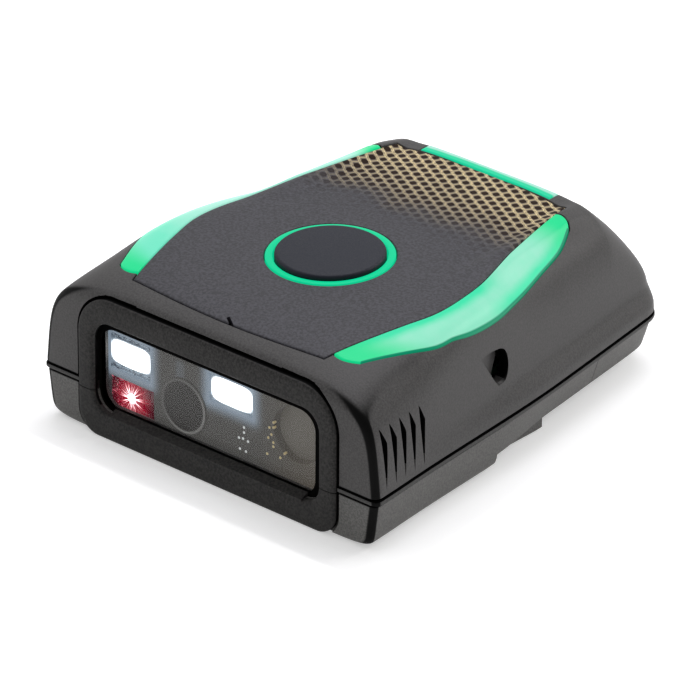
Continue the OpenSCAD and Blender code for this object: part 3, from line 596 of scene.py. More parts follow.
def turned(name: str, profile: Array, origin: Array, axis_x: Array, axis_z: Array, steps: int = 96
           ) -> bpy.types.Object:
    """Solid turned from a profile.

    Args:
        name: name of the piece.
        profile: radius and height of each point, in millimetres, from the axis round to the axis or closed.
        origin: centre, in metres.
        axis_x: direction of the first radius.
        axis_z: direction of the axis.
        steps: points round the axis.

    Returns:
        The new object.
    """
    angle = np.linspace(0, 2 * math.pi, steps, endpoint=False)
    axis_y = np.cross(axis_z, axis_x)
    out = np.cos(angle)[:, None] * axis_x + np.sin(angle)[:, None] * axis_y
    rings = origin + MM * (profile[None, :, :1] * out[:, None, :] + profile[None, :, 1:] * axis_z)
    return loft(name, rings, closed=True)


@dataclass(frozen=True)
class Inlay:
    """A plate let into the housing: a plan grid that follows the surface, in millimetres."""

    form: HousingForm
    thick: float
    gap: float = 0.1
    roll: float = 0.18
    flare: float = 0.14

    def plan(self, g: float) -> tuple[Array, Array]:
        """Grid of plan points, grown by g: across and station."""
        raise NotImplementedError

    def level(self, g: float, depth: float) -> Array:
        """The plan grid at a depth below the housing's surface."""
        x, s = self.plan(g)
        return self.form.place(x, s, self.form.top_z(x, s) - depth)

    def share(self) -> Array:
        """Share across and share along of each grid point.

        Returns:
            Grid of pairs from 0 to 1.
        """
        x, _ = self.plan(0)
        rows, cols = x.shape
        return np.stack(np.meshgrid(np.linspace(0, 1, cols), np.linspace(0, 1, rows)), -1)

    def body(self, name: str, proud: float = 0.0) -> bpy.types.Object:
        """The inlay with a rolled upper edge.

        Args:
            name: name of the piece.
            proud: height of its face above the housing's surface.

        Returns:
            The new object.
        """
        rows, cols = self.plan(0)[0].shape
        rim = rim_index(rows, cols)
        angles = np.linspace(0, math.pi / 2, 6)[1:]
        edge = [self.level(-self.roll * (1 - math.sin(a)), self.roll * (1 - math.cos(a)) - proud) for a in angles]
        edge.append(self.level(0, self.thick))
        rings = np.stack([grid.reshape(-1, 3)[rim] for grid in edge])
        return plug(name, self.level(-self.roll, -proud), rings, self.level(0, self.thick), self.share())

    def pocket(self) -> bpy.types.Object:
        """Tool for the inlay's seat, flared where it meets the surface.

        Returns:
            The tool mesh.
        """
        rows, cols = self.plan(0)[0].shape
        rim = rim_index(rows, cols)
        wide, gap = self.gap + self.flare, self.gap
        edge = [self.level(wide, -0.02), self.level(gap + 0.04, 0.06), self.level(gap, 0.16)]
        rings = np.stack([grid.reshape(-1, 3)[rim] for grid in edge])
        depth = self.thick + self.gap
        return plug("tool", self.level(wide, -1.2), rings, self.level(gap, depth), self.share())


@dataclass(frozen=True)
class PlatePlan(Inlay):
    """Plan of the cover plate: curved sides and bowed ends."""

    front_s: float = 3.5
    rear_s: float = 46.2
    mid: float = 18.0
    bow: float = 0.8
    side: tuple = ((-3.8, 0), (-1.2, 0.218), (-0.1, 0.354), (-1.0, 0.527), (-3.05, 0.726), (-4.7, 0.913), (-5.4, 1))
    rows: int = 110
    cols: int = 81

    def edge(self, t: Array) -> tuple[Array, Array]:
        """Side edge of the plate: across and station."""
        p = curve_at(np.array(self.side, float), t)
        return p[..., 0] + self.mid, self.front_s + (self.rear_s - self.front_s) * p[..., 1]

    def plan(self, g: float) -> tuple[Array, Array]:
        """Side edge times the share across, with the ends bowed by 1 - k^2.

        Args:
            g: growth of the outline.

        Returns:
            Places across and stations of the grid.
        """
        t, k = np.linspace(0, 1, self.rows)[:, None], np.linspace(1, -1, self.cols)[None, :]
        x, s = self.edge(t)
        bow = self.bow * (t**6 - (1 - t) ** 6)
        return (x + g) * k, s + g * (2 * t - 1) + bow * (1 - k * k)


@dataclass(frozen=True)
class GuidePlan(Inlay):
    """Plan of a side light guide, from the plate's edge to a curve on the shoulder."""

    plate: PlatePlan | None = None
    reach: float = 3.8
    outer: tuple = ((-3.9, 0.0445), (-0.74, 0.213), (-0.35, 0.3115), (-0.4, 0.3935), (-1.02, 0.499),
                    (-2.15, 0.609), (-3.6, 0.738), (-4.95, 0.8595), (-6.3, 0.9345))
    tip_gap: float = 1.2
    end_gap: float = 2.3
    side: Side = Side.RIGHT
    rows: int = 121
    cols: int = 21

    def plan(self, g: float) -> tuple[Array, Array]:
        """Share k between the outer curve and the plate's edge, with the ends pushed out by 2k(1-k).

        Args:
            g: growth of the outline.

        Returns:
            Places across and stations of the grid.
        """
        t, k = np.linspace(0, 1, self.rows)[:, None], np.linspace(0, 1, self.cols)[None, :]
        p = curve_at(np.array(self.outer, float), t)
        length = self.plate.rear_s - self.plate.front_s
        x_out, s_out = p[..., 0] + self.plate.mid + self.reach + 0.45 * g, self.plate.front_s + length * p[..., 1]
        s_in = self.plate.front_s + self.tip_gap + (length - self.tip_gap - self.end_gap) * t
        fine = np.linspace(0, 1, 400)
        edge_x, edge_s = self.plate.edge(fine)
        x_in = np.interp(s_in, edge_s, edge_x) + self.gap - g
        nose = np.sign(2 * t - 1) * np.abs(2 * t - 1) ** 9
        x = x_out + (x_in - x_out) * k
        s = s_out + (s_in - s_out) * k + g * (2 * t - 1) + nose * 2 * k * (1 - k)
        return x * self.side.value, s


@dataclass(frozen=True)
class RearGuidePlan(Inlay):
    """Plan of the rear light guide, a bowed strip behind the plate."""

    plate: PlatePlan | None = None
    half: float = 9.6
    width: float = 1.7
    rows: int = 11
    cols: int = 61

    def plan(self, g: float) -> tuple[Array, Array]:
        """Strip from the plate's rear edge, bowed by 1 - k^2/4.

        Args:
            g: growth of the outline.

        Returns:
            Places across and stations of the grid.
        """
        t, k = np.linspace(0, 1, self.rows)[:, None], np.linspace(1, -1, self.cols)[None, :]
        bow = self.plate.bow * (1 - k * k * 0.25)
        start = self.plate.rear_s + 2 * self.gap
        return (self.half + g) * k + 0 * t, start - g + (self.width + 2 * g) * t + bow


class Nodes:
    """The node tree of a material or a world, with short calls for the nodes that the finishes use."""

    def __init__(self, name: str, world: bool = False) -> None:
        """Starts an empty tree with an output and texture coordinates.

        Args:
            name: name of the material or the world.
            world: true for a world.
        """
        self.owner = (bpy.data.worlds if world else bpy.data.materials).new(name)
        self.owner.use_nodes = True
        self.tree = self.owner.node_tree
        self.tree.nodes.clear()
        self.out = self.tree.nodes.new("ShaderNodeOutputWorld" if world else "ShaderNodeOutputMaterial")
        self.coords = self.tree.nodes.new("ShaderNodeTexCoord")

    def node(self, kind: str, inputs: dict | None = None, **settings: object) -> bpy.types.Node:
        """Adds a node, sets its properties, and sets or links its inputs.

        Args:
            kind: type of the node.
            inputs: values or sockets by input name or number.
            settings: properties of the node.

        Returns:
            The new node.
        """
        node = self.tree.nodes.new(kind)
        for key, value in settings.items():
            setattr(node, key, value)
        for key, value in (inputs or {}).items():
            self.feed(node.inputs[key], value)
        return node

    def feed(self, socket: bpy.types.NodeSocket, value: object) -> None:
        """Links a socket to another, or sets its plain value.

        Args:
            socket: the input.
            value: a socket, a number or a colour.
        """
        if isinstance(value, bpy.types.NodeSocket):
            self.tree.links.new(value, socket)
        elif isinstance(value, tuple) and len(value) == 3 and len(socket.default_value) == 4:
            socket.default_value = (*value, 1.0)
        else:
            socket.default_value = value

    def math(self, operation: str, *values: object, clamp: bool = False) -> bpy.types.NodeSocket:
        """Result of a Math node."""
        inputs = dict(enumerate(values))
        return self.node("ShaderNodeMath", inputs, operation=operation, use_clamp=clamp).outputs[0]

    def ramp(self, value: object, low: float, high: float, to_low: float = 0.0, to_high: float = 1.0
             ) -> bpy.types.NodeSocket:
        """Smooth passage of a value from one range to another.

        Args:
            value: a socket or a number.
            low: start of its range.
            high: end of its range.
            to_low: result at the start.
            to_high: result at the end.

        Returns:
            Socket of the result.
        """
        inputs = {"Value": value, "From Min": low, "From Max": high, "To Min": to_low, "To Max": to_high}
        node = self.node("ShaderNodeMapRange", inputs, interpolation_type="SMOOTHSTEP")
        return node.outputs["Result"]

    def mix(self, factor: object, a: object, b: object) -> bpy.types.NodeSocket:
        """Mix of two colours.

        Args:
            factor: share of the second colour.
            a: first colour.
            b: second colour.

        Returns:
            Socket of the mixed colour.
        """
        node = self.node("ShaderNodeMix", data_type="RGBA")
        for socket, value in zip([node.inputs[0], node.inputs[6], node.inputs[7]], [factor, a, b]):
            self.feed(socket, value)
        return node.outputs[2]

    def noise(self, size_mm: float, detail: float = 2.0, rough: float = 0.5) -> bpy.types.NodeSocket:
        """Noise in object coordinates, with cells of about that size.

        Args:
            size_mm: size of a cell.
            detail: number of octaves.
            rough: strength of the finer octaves.

        Returns:
            Socket of the noise, 0 to 1.
        """
        inputs = {"Vector": self.coords.outputs["Object"], "Scale": 1 / (size_mm * MM), "Detail": detail,
                  "Roughness": rough}
        return self.node("ShaderNodeTexNoise", inputs).outputs["Fac"]

    def axes(self, source: str = "Object") -> list[bpy.types.NodeSocket]:
        """The three coordinates as separate values."""
        return list(self.node("ShaderNodeSeparateXYZ", {0: self.coords.outputs[source]}).outputs)

    def far(self, *legs: bpy.types.NodeSocket) -> bpy.types.NodeSocket:
        """Root of the sum of two legs' squares."""
        return self.math("SQRT", self.math("ADD", *(self.math("POWER", leg, 2.0) for leg in legs)))

    def tones(self, factor: object, color: Color, low: float, high: float) -> bpy.types.NodeSocket:
        """Mix between a darker and a lighter share of one colour."""
        return self.mix(factor, tuple(c * low for c in color), tuple(c * high for c in color))

    def glowing(self, color: object, dim: float = 0.7) -> bpy.types.NodeSocket:
        """Base colour under a lit colour, darkened by the share dim."""
        return self.mix(dim, color, BLACK)

    def bump(self, height: object, depth_mm: float, strength: float = 1.0) -> bpy.types.NodeSocket:
        """Bumped normal from a height of 0 to 1."""
        inputs = {"Height": height, "Distance": depth_mm * MM, "Strength": strength}
        return self.node("ShaderNodeBump", inputs).outputs["Normal"]

    def finish(self, **inputs: object) -> bpy.types.Material:
        """Ends the tree in a Principled shader with those inputs, underscores as spaces.

        Args:
            inputs: values or sockets of the shader.

        Returns:
            The finished material.
        """
        named = {key.replace("_", " "): value for key, value in inputs.items()}
        shader = self.node("ShaderNodeBsdfPrincipled", named)
        self.tree.links.new(shader.outputs[0], self.out.inputs[0])
        return self.owner


@dataclass(frozen=True)
class MouldedPlastic:
    """Dark moulded plastic or rubber with an eroded grain, with optional painted shade and a painted dark reflection
    over it.
    """

    name: str
    color: Color
    roughness: float = 0.5
    grain_mm: float = 0.22
    grain_depth: float = 0.02
    mottling: float = 0.42
    specular: float = 0.32
    # paints a dark reflection on the front corners
    painted_corner_reflection: bool = False
    # paints shade on the rubber behind this station
    painted_channel_shade: float | None = None
    # paints shade at the seam: near black past this height
    painted_seam_shade: tuple[float, float] | None = None
    sill_x: tuple[float, float] = (16.6, 16.8)
    sill_z: tuple[float, float] = (3.8, 3.95)

    def material(self) -> bpy.types.Material:
        """Two tones of the colour mixed by the grain, which also raises the surface, with the painted bands over them:
        a painted dark reflection on the front corners, painted shade at the seam and painted shade on the rubber deep
        in its channel.

        Returns:
            The finished material.
        """
        n = Nodes(self.name)
        grain, cloud = n.noise(self.grain_mm, 3, 0.6), n.noise(6.0, 2)
        tone = n.math("ADD", n.math("MULTIPLY", n.ramp(grain, 0.3, 0.7), 0.8), n.math("MULTIPLY", cloud, 0.2))
        color = n.tones(tone, self.color, 1 - self.mottling, 1 + self.mottling)
        specular = self.specular
        # painted dark reflection on the front corners: near-black base colour and low specular
        if self.painted_corner_reflection:
            band = self.painted_reflection_band(n)
            color = n.mix(band, color, (0.003, 0.003, 0.003))
            specular = n.ramp(band, 0.0, 1.0, self.specular, 0.06)
        # painted shade at the seam: the shell's edge near black past a height
        if self.painted_seam_shade is not None:
            foot = n.ramp(n.axes()[2], *(z * MM for z in self.painted_seam_shade))
            color = n.mix(foot, color, (0.002, 0.002, 0.002))
        # painted shade on the rubber's faces deep in the channel and the opening
        if self.painted_channel_shade is not None:
            back = self.painted_channel_shade_band(n)
            color = n.mix(back, color, (0.001, 0.001, 0.001))
            specular = n.ramp(back, 0.0, 1.0, self.specular, 0.03)
        return n.finish(Base_Color=color,
                        Roughness=n.ramp(grain, 0.3, 0.7, self.roughness - 0.06, self.roughness + 0.08),
                        Specular_IOR_Level=specular, Normal=n.bump(grain, self.grain_depth))

    @staticmethod
    def painted_reflection_band(n: Nodes) -> bpy.types.NodeSocket:
        """Painted dark reflection on the front corners: how far the level part of the normal points 45 degrees off the
        front.

        Args:
            n: the material's nodes.

        Returns:
            Socket of the band, 0 to 1.
        """
        nx, ny, nz = n.axes("Normal")
        facing = n.math("MULTIPLY", n.math("SUBTRACT", n.math("ABSOLUTE", nx), ny), DIAGONAL)
        facing = n.math("DIVIDE", facing, n.math("MAXIMUM", n.far(nx, ny), 0.05))
        return n.math("MULTIPLY", n.ramp(facing, 0.79, 0.89), n.ramp(nz, 0.92, 0.66))

    def painted_channel_shade_band(self, n: Nodes) -> bpy.types.NodeSocket:
        """Painted shade on the rubber behind a plane along the body, where it lies deep in its channel and opening,
        clear of the sill: a ramp along times ramps across and up.

        Args:
            n: the material's nodes.

        Returns:
            Socket of the band, 0 to 1.
        """
        x, y, z = n.axes()
        clear = n.math("MAXIMUM", n.ramp(n.math("ABSOLUTE", x), *(v * MM for v in self.sill_x)),
                       n.ramp(z, *(v * MM for v in self.sill_z)))
        behind = n.ramp(y, (self.painted_channel_shade - 0.08) * MM, (self.painted_channel_shade + 0.08) * MM)
        return n.math("MULTIPLY", clear, behind)


@dataclass(frozen=True)
class LitGuide:
    """Translucent plastic lit from inside, pale where the light leaves it and deep green along some edges."""

    name: str
    middle: Color = (0.31, 0.84, 0.61)
    edge: Color = (0.03, 0.80, 0.42)
    tip: Color = (0.004, 0.78, 0.30)
    washes: tuple = ()
    tips: tuple[float, float] | None = (0.16, 0.86)
    # width of a painted shade along the outer edge
    border: float = 0.0
    glow: float = 0.67
    gloss: float = 0.15

    def material(self) -> bpy.types.Material:
        """Colour by the share across and along: each wash is a ramp across times a ramp along.

        Returns:
            The finished material.
        """
        n = Nodes(self.name)
        across, along, _ = n.axes("UV")
        deep = 0.0
        for a0, a1, b0, b1 in self.washes:
            deep = n.math("MAXIMUM", n.math("MULTIPLY", n.ramp(across, a0, a1), n.ramp(along, b0, b1)), deep)
        haze = n.math("MULTIPLY", n.ramp(n.noise(2.2, 2), 0.35, 0.65), 0.12)
        color = n.mix(n.math("ADD", deep, haze, clamp=True), self.middle, self.edge)
        if self.tips:
            ends = n.math("MAXIMUM", n.ramp(along, self.tips[0], self.tips[0] * 0.2),
                          n.ramp(along, self.tips[1], 1 - (1 - self.tips[1]) * 0.2))
            color = n.mix(ends, color, self.tip)
        # painted shade: the outer edge darkened to deep green, which the even glow would not show
        if self.border:
            color = n.mix(n.ramp(across, self.border, 0.0), color, (0.0, 0.30, 0.15))
        return n.finish(Base_Color=n.glowing(color), Roughness=0.32, Emission_Color=color,
                        Emission_Strength=self.glow, Specular_IOR_Level=self.gloss,
                        Normal=n.bump(n.noise(0.5, 1), 0.004))


@dataclass(frozen=True)
class NettedPlate:
    """Satin plate whose rear carries a fine hexagonal net that fades towards the front."""

    name: str
    color: Color = (0.034, 0.033, 0.041)
    thread: Color = (0.47, 0.38, 0.20)
    wire: Color = (0.17, 0.125, 0.085)
    cell: Color = (0.016, 0.008, 0.006)
    pitch: float = 1.31
    fade_from: float = -1.0
    fade_to: float = 14.0

    def material(self) -> bpy.types.Material:
        """Distance to the nearest point of a triangular lattice makes the cells, and its rows the threads and the
        painted highlights along them.

        Returns:
            The finished material.
        """
        n = Nodes(self.name)
        x, y, _ = n.axes()
        wide = self.pitch * math.sqrt(3)
        cells = []
        for shift in (0.0, 0.5):
            legs = []
            for axis, step in ((x, wide), (y, self.pitch)):
                u = n.math("ADD", n.math("DIVIDE", axis, step * MM), shift)
                legs.append(n.math("MULTIPLY", n.math("PINGPONG", n.math("ADD", u, 100.0), 0.5), step))
            slant = n.math("ADD", n.math("MULTIPLY", legs[0], 0.866), n.math("MULTIPLY", legs[1], 0.5))
            cells.append(n.math("MAXIMUM", legs[1], slant))
        inside = n.math("MINIMUM", cells[0], cells[1])
        hole, web = n.ramp(inside, 0.45, 0.36), n.ramp(inside, 0.54, 0.59)
        row = n.math("DIVIDE", n.math("ADD", n.math("MULTIPLY", x, 0.5), n.math("MULTIPLY", y, 0.866)),
                     self.pitch * 0.866 * MM)
        strand = n.math("PINGPONG", n.math("ADD", row, 100.0), 0.5)
        # painted highlight: two thin light bands along each row of threads
        painted_thread_highlight = n.math("MULTIPLY", n.ramp(strand, 0.32, 0.38), n.ramp(strand, 0.49, 0.44))
        cloud = n.math("MULTIPLY", n.math("SUBTRACT", n.noise(5.0, 2), 0.5), 5 * MM)
        place = n.math("ADD", y, cloud)
        net = n.ramp(place, (self.fade_from + 4) * MM, (self.fade_to + 1) * MM)
        holes = n.ramp(place, self.fade_from * MM, (self.fade_to - 4) * MM)
        grain = n.ramp(n.noise(0.32, 3, 0.6), 0.35, 0.65)
        # lighter thread colour for the painted highlight
        light = tuple(min(1.0, c * 1.7) for c in self.thread)
        base = n.tones(grain, self.color, 0.55, 1.45)
        ground = n.mix(net, base, self.wire)
        thread = n.mix(n.math("MULTIPLY", painted_thread_highlight, n.ramp(grain, 0.35, 0.6)), self.thread, light)
        woven = n.math("MAXIMUM", web, n.math("MULTIPLY", painted_thread_highlight, 0.8))
        color = n.mix(n.math("MULTIPLY", net, woven), ground, thread)
        dark = n.math("MULTIPLY", hole, holes)
        height = n.math("SUBTRACT", n.math("MULTIPLY", grain, 0.18), dark)
        return n.finish(Base_Color=n.mix(n.math("MULTIPLY", dark, 0.93), color, self.cell), Roughness=0.46,
                        Specular_IOR_Level=n.ramp(dark, 0.0, 1.0, 0.32, 0.03), Normal=n.bump(height, 0.05, 0.6))


@dataclass(frozen=True)
class ClearPane:
    """Clear window or lens."""

    name: str
    tint: Color = (0.97, 0.97, 0.97)
    roughness: float = 0.0
    ior: float = 1.12

    def material(self) -> bpy.types.Material:
        """Clear plastic whose roughness varies a little, as wiped glass does.

        Returns:
            The finished material.
        """
        n = Nodes(self.name)
        rough = n.ramp(n.noise(4.0, 2), 0.3, 0.7, self.roughness, self.roughness + 0.02)
        return n.finish(Base_Color=self.tint, Roughness=rough, IOR=self.ior, Transmission_Weight=1.0)


@dataclass(frozen=True)
class LampGlow:
    """A lit optic: a white core with stepped bluish prism edges."""

    name: str
    share: tuple[float, float] = (0.9, 0.7)
    core: Color = (1.0, 1.0, 1.0)
    edge: Color = (0.30, 0.38, 0.45)
    dark: Color = (0.03, 0.04, 0.06)
    strength: float = 4.0

    def material(self) -> bpy.types.Material:
        """Fourth-power distance in shares of the core's half sizes: soft core, then the steps of the rim.

        Returns:
            The finished material.
        """
        n = Nodes(self.name)
        legs, far = [], 0.0
        for value, half in zip(n.axes("UV"), self.share):
            off = n.math("DIVIDE", n.math("ABSOLUTE", n.math("SUBTRACT", value, 0.5)), half / 2)
            legs.append(n.math("POWER", off, 4.0))
            far = n.math("MAXIMUM", off, far)
        core = n.ramp(n.math("POWER", n.math("ADD", *legs), 0.25), 1.16, 0.88)
        step = n.ramp(n.math("PINGPONG", n.math("MULTIPLY", far, 9.0), 0.5), 0.15, 0.35)
        broken = n.math("MULTIPLY", step, n.ramp(n.noise(0.6, 2), 0.36, 0.56))
        near = n.ramp(far, 1.4, 0.95)
        rim = n.mix(n.math("MAXIMUM", broken, n.math("MULTIPLY", near, 0.55)), self.dark, self.edge)
        level = n.math("ADD", n.math("MULTIPLY", core, self.strength), 0.75)
        return n.finish(Base_Color=n.mix(core, n.glowing(rim, 0.6), self.core), Roughness=0.15,
                        Emission_Color=n.mix(core, rim, self.core), Emission_Strength=level)


@dataclass(frozen=True)
class StarGlow:
    """A lit red optic with a pale star in its middle and thin rays."""

    name: str
    size: tuple[float, float] = (6.7, 3.7)
    middle: tuple[float, float] = (0.482, 0.449)
    core_r: float = 0.75
    red: Color = (0.50, 0.002, 0.028)
    pale: Color = (1.0, 0.74, 0.78)
    deep: Color = (0.045, 0.003, 0.008)

    def material(self) -> bpy.types.Material:
        """Noise of the angle round the middle makes the rays, and they fade with the distance in millimetres.

        Returns:
            The finished material.
        """
        n = Nodes(self.name)
        u, v, _ = n.axes("UV")
        du = n.math("MULTIPLY", n.math("SUBTRACT", u, self.middle[0]), self.size[0])
        dv = n.math("MULTIPLY", n.math("SUBTRACT", v, self.middle[1]), self.size[1])
        far = n.far(du, dv)
        angle = n.math("ARCTAN2", dv, du)
        spread = n.node("ShaderNodeTexNoise", {"W": angle, "Scale": 7.0, "Detail": 1.0}, noise_dimensions="1D")
        ray = n.ramp(spread.outputs["Fac"], 0.5, 0.64)
        reach = n.ramp(far, 3.4, 0.8)
        core = n.ramp(n.math("SUBTRACT", far, n.math("MULTIPLY", ray, 0.5)), self.core_r, self.core_r * 0.6)
        star = n.math("ADD", n.math("MULTIPLY", ray, n.ramp(far, 2.0, 0.7)), core, clamp=True)
        red = n.mix(n.math("MULTIPLY", reach, n.math("ADD", n.math("MULTIPLY", ray, 0.45), 0.55)), self.deep, self.red)
        speck = n.math("MULTIPLY", n.ramp(n.noise(0.3, 2), 0.58, 0.66), n.ramp(du, 0.5, -2.5, 0.05, 0.7))
        color = n.mix(star, n.mix(speck, red, (0.75, 0.16, 0.22)), self.pale)
        return n.finish(Base_Color=n.glowing(color), Roughness=0.2, Emission_Color=color,
                        Emission_Strength=n.math("ADD", n.math("MULTIPLY", star, 1.6), 1.0))


@dataclass(frozen=True)
class Patch:
    """A rounded rectangle of painted light on the engine's front, in millimetres of the frame."""

    at: tuple[float, float]
    half: tuple[float, float]
    reach: float = 2.3
    level: float = 0.7


@dataclass(frozen=True)
class OpticsFrame:
    """Dark frame of the scan engine, with the lamps' cool light painted on it as glow, its own lighting painted as a
    glow too, and painted shade at its far left.
    """

    name: str
    color: Color = (0.030, 0.029, 0.027)
    # painted glow of the frame, warmer to the right
    ground: Color = (0.047, 0.046, 0.044)
    warm: Color = (0.060, 0.052, 0.042)
    haze: Color = (0.26, 0.33, 0.41)
    patches: tuple = ()
    # edge of the painted shade at the left
    painted_shade_x: float = -16.5

    def material(self) -> bpy.types.Material:
        """Squared fall of painted lamp light with the distance from each patch, over a painted glow that is warmer to
        the right and near black left of the painted shade's edge.

        Returns:
            The finished material.
        """
        n = Nodes(self.name)
        x, _, z = n.axes()
        glow = 0.0
        for patch in self.patches:
            legs = []
            for axis, middle, half in zip((x, z), patch.at, patch.half):
                off = n.math("ABSOLUTE", n.math("SUBTRACT", axis, middle * MM))
                legs.append(n.math("MAXIMUM", n.math("SUBTRACT", off, half * MM), 0.0))
            fall = n.math("POWER", n.ramp(n.far(*legs), patch.reach * MM, 0.0), 2.0)
            glow = n.math("ADD", n.math("MULTIPLY", fall, patch.level), glow, clamp=True)
        grain = n.noise(0.3, 3, 0.6)
        base = n.tones(grain, self.color, 0.8, 1.2)
        # painted shade: base colour and glow near black left of the edge
        lit = n.ramp(x, (self.painted_shade_x - 0.3) * MM, (self.painted_shade_x + 0.3) * MM)
        ground = n.mix(lit, (0.002, 0.003, 0.006), n.mix(n.ramp(x, 4 * MM, 15 * MM), self.ground, self.warm))
        return n.finish(Base_Color=n.mix(lit, (0.004, 0.005, 0.008), base), Roughness=0.55, Specular_IOR_Level=0.2,
                        Emission_Color=n.mix(glow, ground, self.haze), Emission_Strength=1.0,
                        Normal=n.bump(grain, 0.01))


@dataclass(frozen=True)
class SmokedDisc:
    """Flat cover of the camera: a dark disc inside a thin painted highlight ring, its tones painted as glow."""

    name: str
    at: tuple[float, float]
    line_r: float = 3.12
    dark: Color = (0.028, 0.027, 0.026)
    # colour of the painted highlight ring
    painted_rim_highlight: Color = (0.14, 0.14, 0.135)
    ground: Color = (0.047, 0.046, 0.044)

    def material(self) -> bpy.types.Material:
        """Colour by the distance from the disc's middle, the painted highlight ring strongest at the lower right.

        Returns:
            The finished material.
        """
        n = Nodes(self.name)
        x, _, z = n.axes()
        dx, dz = n.math("SUBTRACT", x, self.at[0] * MM), n.math("SUBTRACT", z, self.at[1] * MM)
        far = n.far(dx, dz)
        off = n.math("ABSOLUTE", n.math("SUBTRACT", far, self.line_r * MM))
        # painted highlight: a thin ring, strongest at the lower right
        ring = n.math("MULTIPLY", n.ramp(off, 0.22 * MM, 0.05 * MM),
                      n.ramp(n.math("SUBTRACT", dx, dz), -4 * MM, 3 * MM, 0.35, 1.0))
        color = n.mix(n.ramp(far, (self.line_r - 0.1) * MM, (self.line_r + 0.1) * MM), self.dark, self.ground)
        # the disc's tones glow as painted light
        return n.finish(Base_Color=n.glowing(color, 0.5), Roughness=0.5, Specular_IOR_Level=0.2,
                        Emission_Color=n.mix(ring, color, self.painted_rim_highlight), Emission_Strength=1.0)


@dataclass(frozen=True)
class Solder:
    """Solder point with the lamps' light on it painted as glow."""

    name: str
    color: Color
    glow: float

    def material(self) -> bpy.types.Material:
        """Two tones of the colour mixed by noise, glowing at half the given level as painted light.

        Returns:
            The finished material.
        """
        n = Nodes(self.name)
        speck = n.tones(n.noise(0.3, 2), self.color, 0.7, 1.0)
        return n.finish(Base_Color=speck, Roughness=0.3, Emission_Color=speck, Emission_Strength=self.glow * 0.5)


@dataclass(frozen=True)
class Metal:
    """Plain metal with fine brushing."""

    name: str
    color: Color
    roughness: float = 0.35

    def material(self) -> bpy.types.Material:
        """Noise in the roughness and a faint bump.

        Returns:
            The finished material.
        """
        n = Nodes(self.name)
        brush = n.noise(0.3, 3)
        rough = n.ramp(brush, 0.3, 0.7, self.roughness - 0.08, self.roughness + 0.1)
        return n.finish(Base_Color=self.color, Metallic=1.0, Roughness=rough, Normal=n.bump(brush, 0.004))


SHELL = MouldedPlastic("shell", (0.055, 0.0525, 0.0515), painted_corner_reflection=True, painted_seam_shade=(6.73, 6.63))
LOWER = MouldedPlastic("lower_shell", (0.115, 0.113, 0.108), roughness=0.55, painted_corner_reflection=True,
                       painted_seam_shade=(5.49, 5.58))
RUBBER = MouldedPlastic("rubber", (0.024, 0.023, 0.022), roughness=0.68, grain_mm=0.28, grain_depth=0.06,
                        mottling=0.85, specular=0.25, painted_channel_shade=-29.36)
# near-black finish that paints the shade in grooves, recesses and gaps
PAINTED_GROOVE_SHADE = MouldedPlastic("groove", (0.0015, 0.0015, 0.0015), roughness=0.8, specular=0.02)
SEAL = MouldedPlastic("seal", (0.050, 0.049, 0.048), roughness=0.6, grain_mm=0.18, grain_depth=0.03, painted_corner_reflection=True)
PAD = MouldedPlastic("pad", (0.2, 0.2, 0.22), roughness=0.7)
KEY = MouldedPlastic("key", (0.006, 0.008, 0.017), roughness=0.52, grain_mm=0.16, grain_depth=0.008, mottling=0.1,
                     specular=0.28)
PLATE = NettedPlate("plate")
GUIDES = (LitGuide("light_guide_right", washes=((0.5, 0.95, 0.66, 0.5), (0.42, 0.06, 0.42, 0.66)),
                   tips=(0.16, 0.8), border=0.035),
          LitGuide("light_guide_left", middle=(0.42, 0.88, 0.72), edge=(0.17, 0.84, 0.58),
                   washes=((-1.0, -0.5, 0.42, 0.12), (0.3, 0.0, 0.7, 0.4)), tips=(0.1, 0.9)),
          LitGuide("light_guide_rear", middle=(0.48, 0.84, 0.73), edge=(0.01, 0.72, 0.38),
                   washes=((-1.0, -0.5, 0.62, 0.28),), tips=None))
RING = LitGuide("ring_light", middle=(0.002, 0.72, 0.34), edge=(0.002, 0.70, 0.31), tips=None, gloss=0.06)


@cache
def made(finish: object) -> bpy.types.Material:
    """The finish's material, made once."""
    return finish.material()


def paint_groove_shade(piece: bpy.types.Object, faces: Array) -> None:
    """Gives the chosen faces of a piece the near-black finish that paints the shade in its grooves."""
    piece.data.materials.append(made(PAINTED_GROOVE_SHADE))
    piece.data.polygons.foreach_set("material_index", faces.astype(np.int32))


def face_middles(piece: bpy.types.Object) -> Array:
    """Middle of each face, in metres.

    Args:
        piece: the mesh object.

    Returns:
        Middles, one row each.
    """
    middle = np.zeros(len(piece.data.polygons) * 3)
    piece.data.polygons.foreach_get("center", middle)
    return middle.reshape(-1, 3)


def dress(piece: bpy.types.Object, finish: object, slot: str, body: str, *nodes: str) -> None:
    """Gives a piece its material and body, and hides the CAD nodes that it stands for.

    Args:
        piece: the finished mesh.
        finish: its finish.
        slot: not used.
        body: body that it rides on.
        nodes: CAD nodes that it replaces.
    """
    piece.data.materials.clear()
    piece.data.materials.append(made(finish))
    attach(piece, body)
    if nodes:
        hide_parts(*nodes)
    piece.data.calc_loop_triangles()
    LOG.info("%s: %d triangles, for %s", piece.name, len(piece.data.loop_triangles), ", ".join(nodes) or "itself")


def dress_node(node: str, finish: object) -> None:
    """Gives a CAD node a material and leaves its mesh alone.

    Args:
        node: name of the CAD node.
        finish: its finish.
    """
    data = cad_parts[node].data
    data.materials.clear()
    data.materials.append(made(finish))
    LOG.info("%s: its own solid with the finish %s", node, finish.name)


